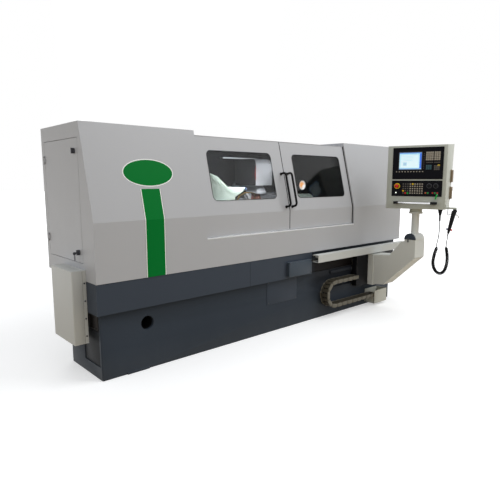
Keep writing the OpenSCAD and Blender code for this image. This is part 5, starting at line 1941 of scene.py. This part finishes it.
    def cover_screws(self) -> None:
        """Screws in the rear cover of the housing."""
        slant = math.atan2(self.rear_depth[1] - self.rear_depth[0], self.rear_height)
        y, foot = self.housing_y + self.rear_depth[0] + 0.003, 1.114
        places = [moved(x, y + math.tan(slant) * z, foot + z)
                  @ spun(180, "Z") @ Matrix.Rotation(slant, 4, "X")
                  for z in (0.050, 0.317, 0.585) for x in (-0.232, 0.253)]
        self.add(Bench.screws("pendant_cover_screws", places, 0.006, 0.003), Shop.STEEL)

    def build(self) -> None:
        """Dress the housing and add the controls."""
        self.rounded("pendant_housing", Shop.HOUSING, 0.0015)
        self.rounded("service_connectors", Shop.KHAKI, 0.003, 3)
        self.dress(Shop.FOIL, "operator_panel", "control_panel")
        self.keys()
        self.marked_keys()
        self.screen()
        self.controls()
        self.buttons()
        self.key()
        self.handle()
        self.cover_screws()


@dataclass
class Handset(Builder):
    """The hand-held unit that hangs in its holder, in its own axes."""

    body: str = "pendant"
    half: float = 0.022
    deep: float = 0.018
    length: float = 0.222
    waist: float = 0.060
    waist_half: float = 0.016
    button_z: float = 0.036
    fork_top: float = 1.1178
    rings: int = 4

    HOOK = ((0.019, 0, 0.192), (0.034, 0, 0.1885), (0.047, 0, 0.1815), (0.0548, 0, 0.172),
            (0.0560, 0, 0.163))

    def build(self) -> None:
        """Shape the grip, its buttons, its hook and the holder."""
        shape = Bench.joined("handset_shape", [self.grip(), self.foot(), *self.ribs(),
                                               *self.ball()])
        self.add(shape, Shop.HANDLE, node="handset")
        self.buttons()
        self.sleeve()
        self.hook()
        self.holder()

    def holder(self) -> None:
        """The holder's beige arm and its black fork, cut apart below the arm."""
        arm = Bench.rounded_node("handset_holder", 0.0006, 2, 50.0)
        fork = Bench.copied(arm, "handset_fork", HERE)
        Bench.plain(fork)
        for piece, clear_above, finish in ((arm, False, Shop.HOUSING), (fork, True, Shop.HANDLE)):
            with Bench.editing(piece, "SELECT"):
                bpy.ops.mesh.bisect(plane_co=(0, 0, self.fork_top), plane_no=(0, 0, 1),
                                    clear_inner=not clear_above, clear_outer=clear_above,
                                    use_fill=True)
            self.paint(piece, finish)

    def grip(self) -> Obj:
        """The long round-cornered part."""
        grip = Bench.block("handset_grip", (-self.half, -self.deep, self.waist - 0.002),
                           (self.half, self.deep, self.length))
        with Bench.editing(grip) as mesh:
            Bench.pick_edges(mesh, grip, lambda a, b: abs(a.x - b.x) < ALIKE
                             and abs(a.y - b.y) < ALIKE)
            bpy.ops.mesh.bevel(offset=0.009, segments=5, affect="EDGES")
        with Bench.editing(grip) as mesh:
            Bench.pick(mesh, grip, lambda place, normal: normal.z < -0.9)
            bpy.ops.transform.resize(value=(self.waist_half / self.half, 1.0, 1.0))
        return Bench.soften(grip, 0.003, 3, 50.0)

    def foot(self) -> Obj:
        """The flat foot that tapers to the cord."""
        deep = self.deep - 0.003
        foot = Bench.block("handset_foot", (-self.waist_half, -deep, 0.020),
                           (self.waist_half, deep, self.waist))
        with Bench.editing(foot) as mesh:
            Bench.pick(mesh, foot, lambda place, normal: normal.z < -0.9)
            bpy.ops.transform.resize(value=(0.74, 1.0, 1.0))
            Bench.extrude((0, 0, -0.020))
            bpy.ops.transform.resize(value=(0.76, 1.0, 1.0))
        return Bench.soften(foot, 0.003, 3, 20.0)

    def ribs(self) -> list[Obj]:
        """Grip ribs on the front."""
        return [Bench.block(f"grip_rib_{index}", (-0.013, -self.deep - 0.0028, z),
                            (0.013, -self.deep + 0.001, z + 0.009), 0.0015)
                for index, z in enumerate(0.082 + i * 0.017 for i in range(5))]

    def ball(self) -> list[Obj]:
        """The ball on its stem at the top."""
        stem = Bench.tube("ball_stem", [(0.018, 0, self.length - 0.020),
                                        (0.0225, 0, self.length + 0.003)], 0.004)
        angles = [math.radians(angle) for angle in range(0, 181, 18)]
        ball = Bench.turned("ball", [(0.007 * math.sin(a), 0.007 * math.cos(a))
                                     for a in angles], 24)
        ball.data.transform(moved(0.022, 0, self.length + 0.005))
        return [stem, ball]

    def buttons(self) -> None:
        """The red and the blue side button."""
        for node, turn, finish in (("handset_stop", 90, Shop.RED),
                                   ("handset_enable", -90, Shop.BLUE)):
            button = Bench.turned(node + "_cap", [
                (0.0, 0.0308), (0.005, 0.0304), (0.0082, 0.0286), (0.0088, 0.0265),
                (0.0088, 0.0110), (0.0, 0.0110)], 28)
            self.add(button, finish, moved(0, 0, self.button_z) @ spun(turn, "Y"), node, node)

    def sleeve(self) -> None:
        """The ribbed sleeve of the cord."""
        profile = [(0.0, 0.002), (0.0078, 0.002)]
        for index in range(self.rings):
            top = -0.007 * index
            wide, narrow = 0.0078 - 0.0006 * index, 0.0056 - 0.0004 * index
            profile += [(wide, top), (wide, top - 0.004), (narrow, top - 0.005),
                        (narrow, top - 0.007)]
        self.add(Bench.turned("cord_sleeve", [*profile, (0.0, -0.028)], 28), Shop.RUBBER)

    def hook(self) -> None:
        """The pale flat hook on the right of the handset."""
        hook = Bench.tube("handset_hook", self.HOOK, 0.0056, 6)
        hook.scale = (1.0, 2.0, 1.0)
        self.add(Bench.freeze(hook), Shop.CLIP)


def main() -> None:
    """Build every sub-assembly in order."""
    logging.basicConfig(level=logging.INFO, format="%(name)s: %(message)s")
    Studio().build()
    home = PendantFrame()
    CurlyCord().build(home)
    Bed().build()
    shell = Enclosure()
    shell.build()
    Doors().build(shell)
    SideAccess().build()
    Chamber().build()
    DragChain().build()
    ArmAndRail().build()
    Pendant(axes=home.matrix()).build()
    Handset(axes=home.handset()).build()


if __name__ == "__main__":
    main()
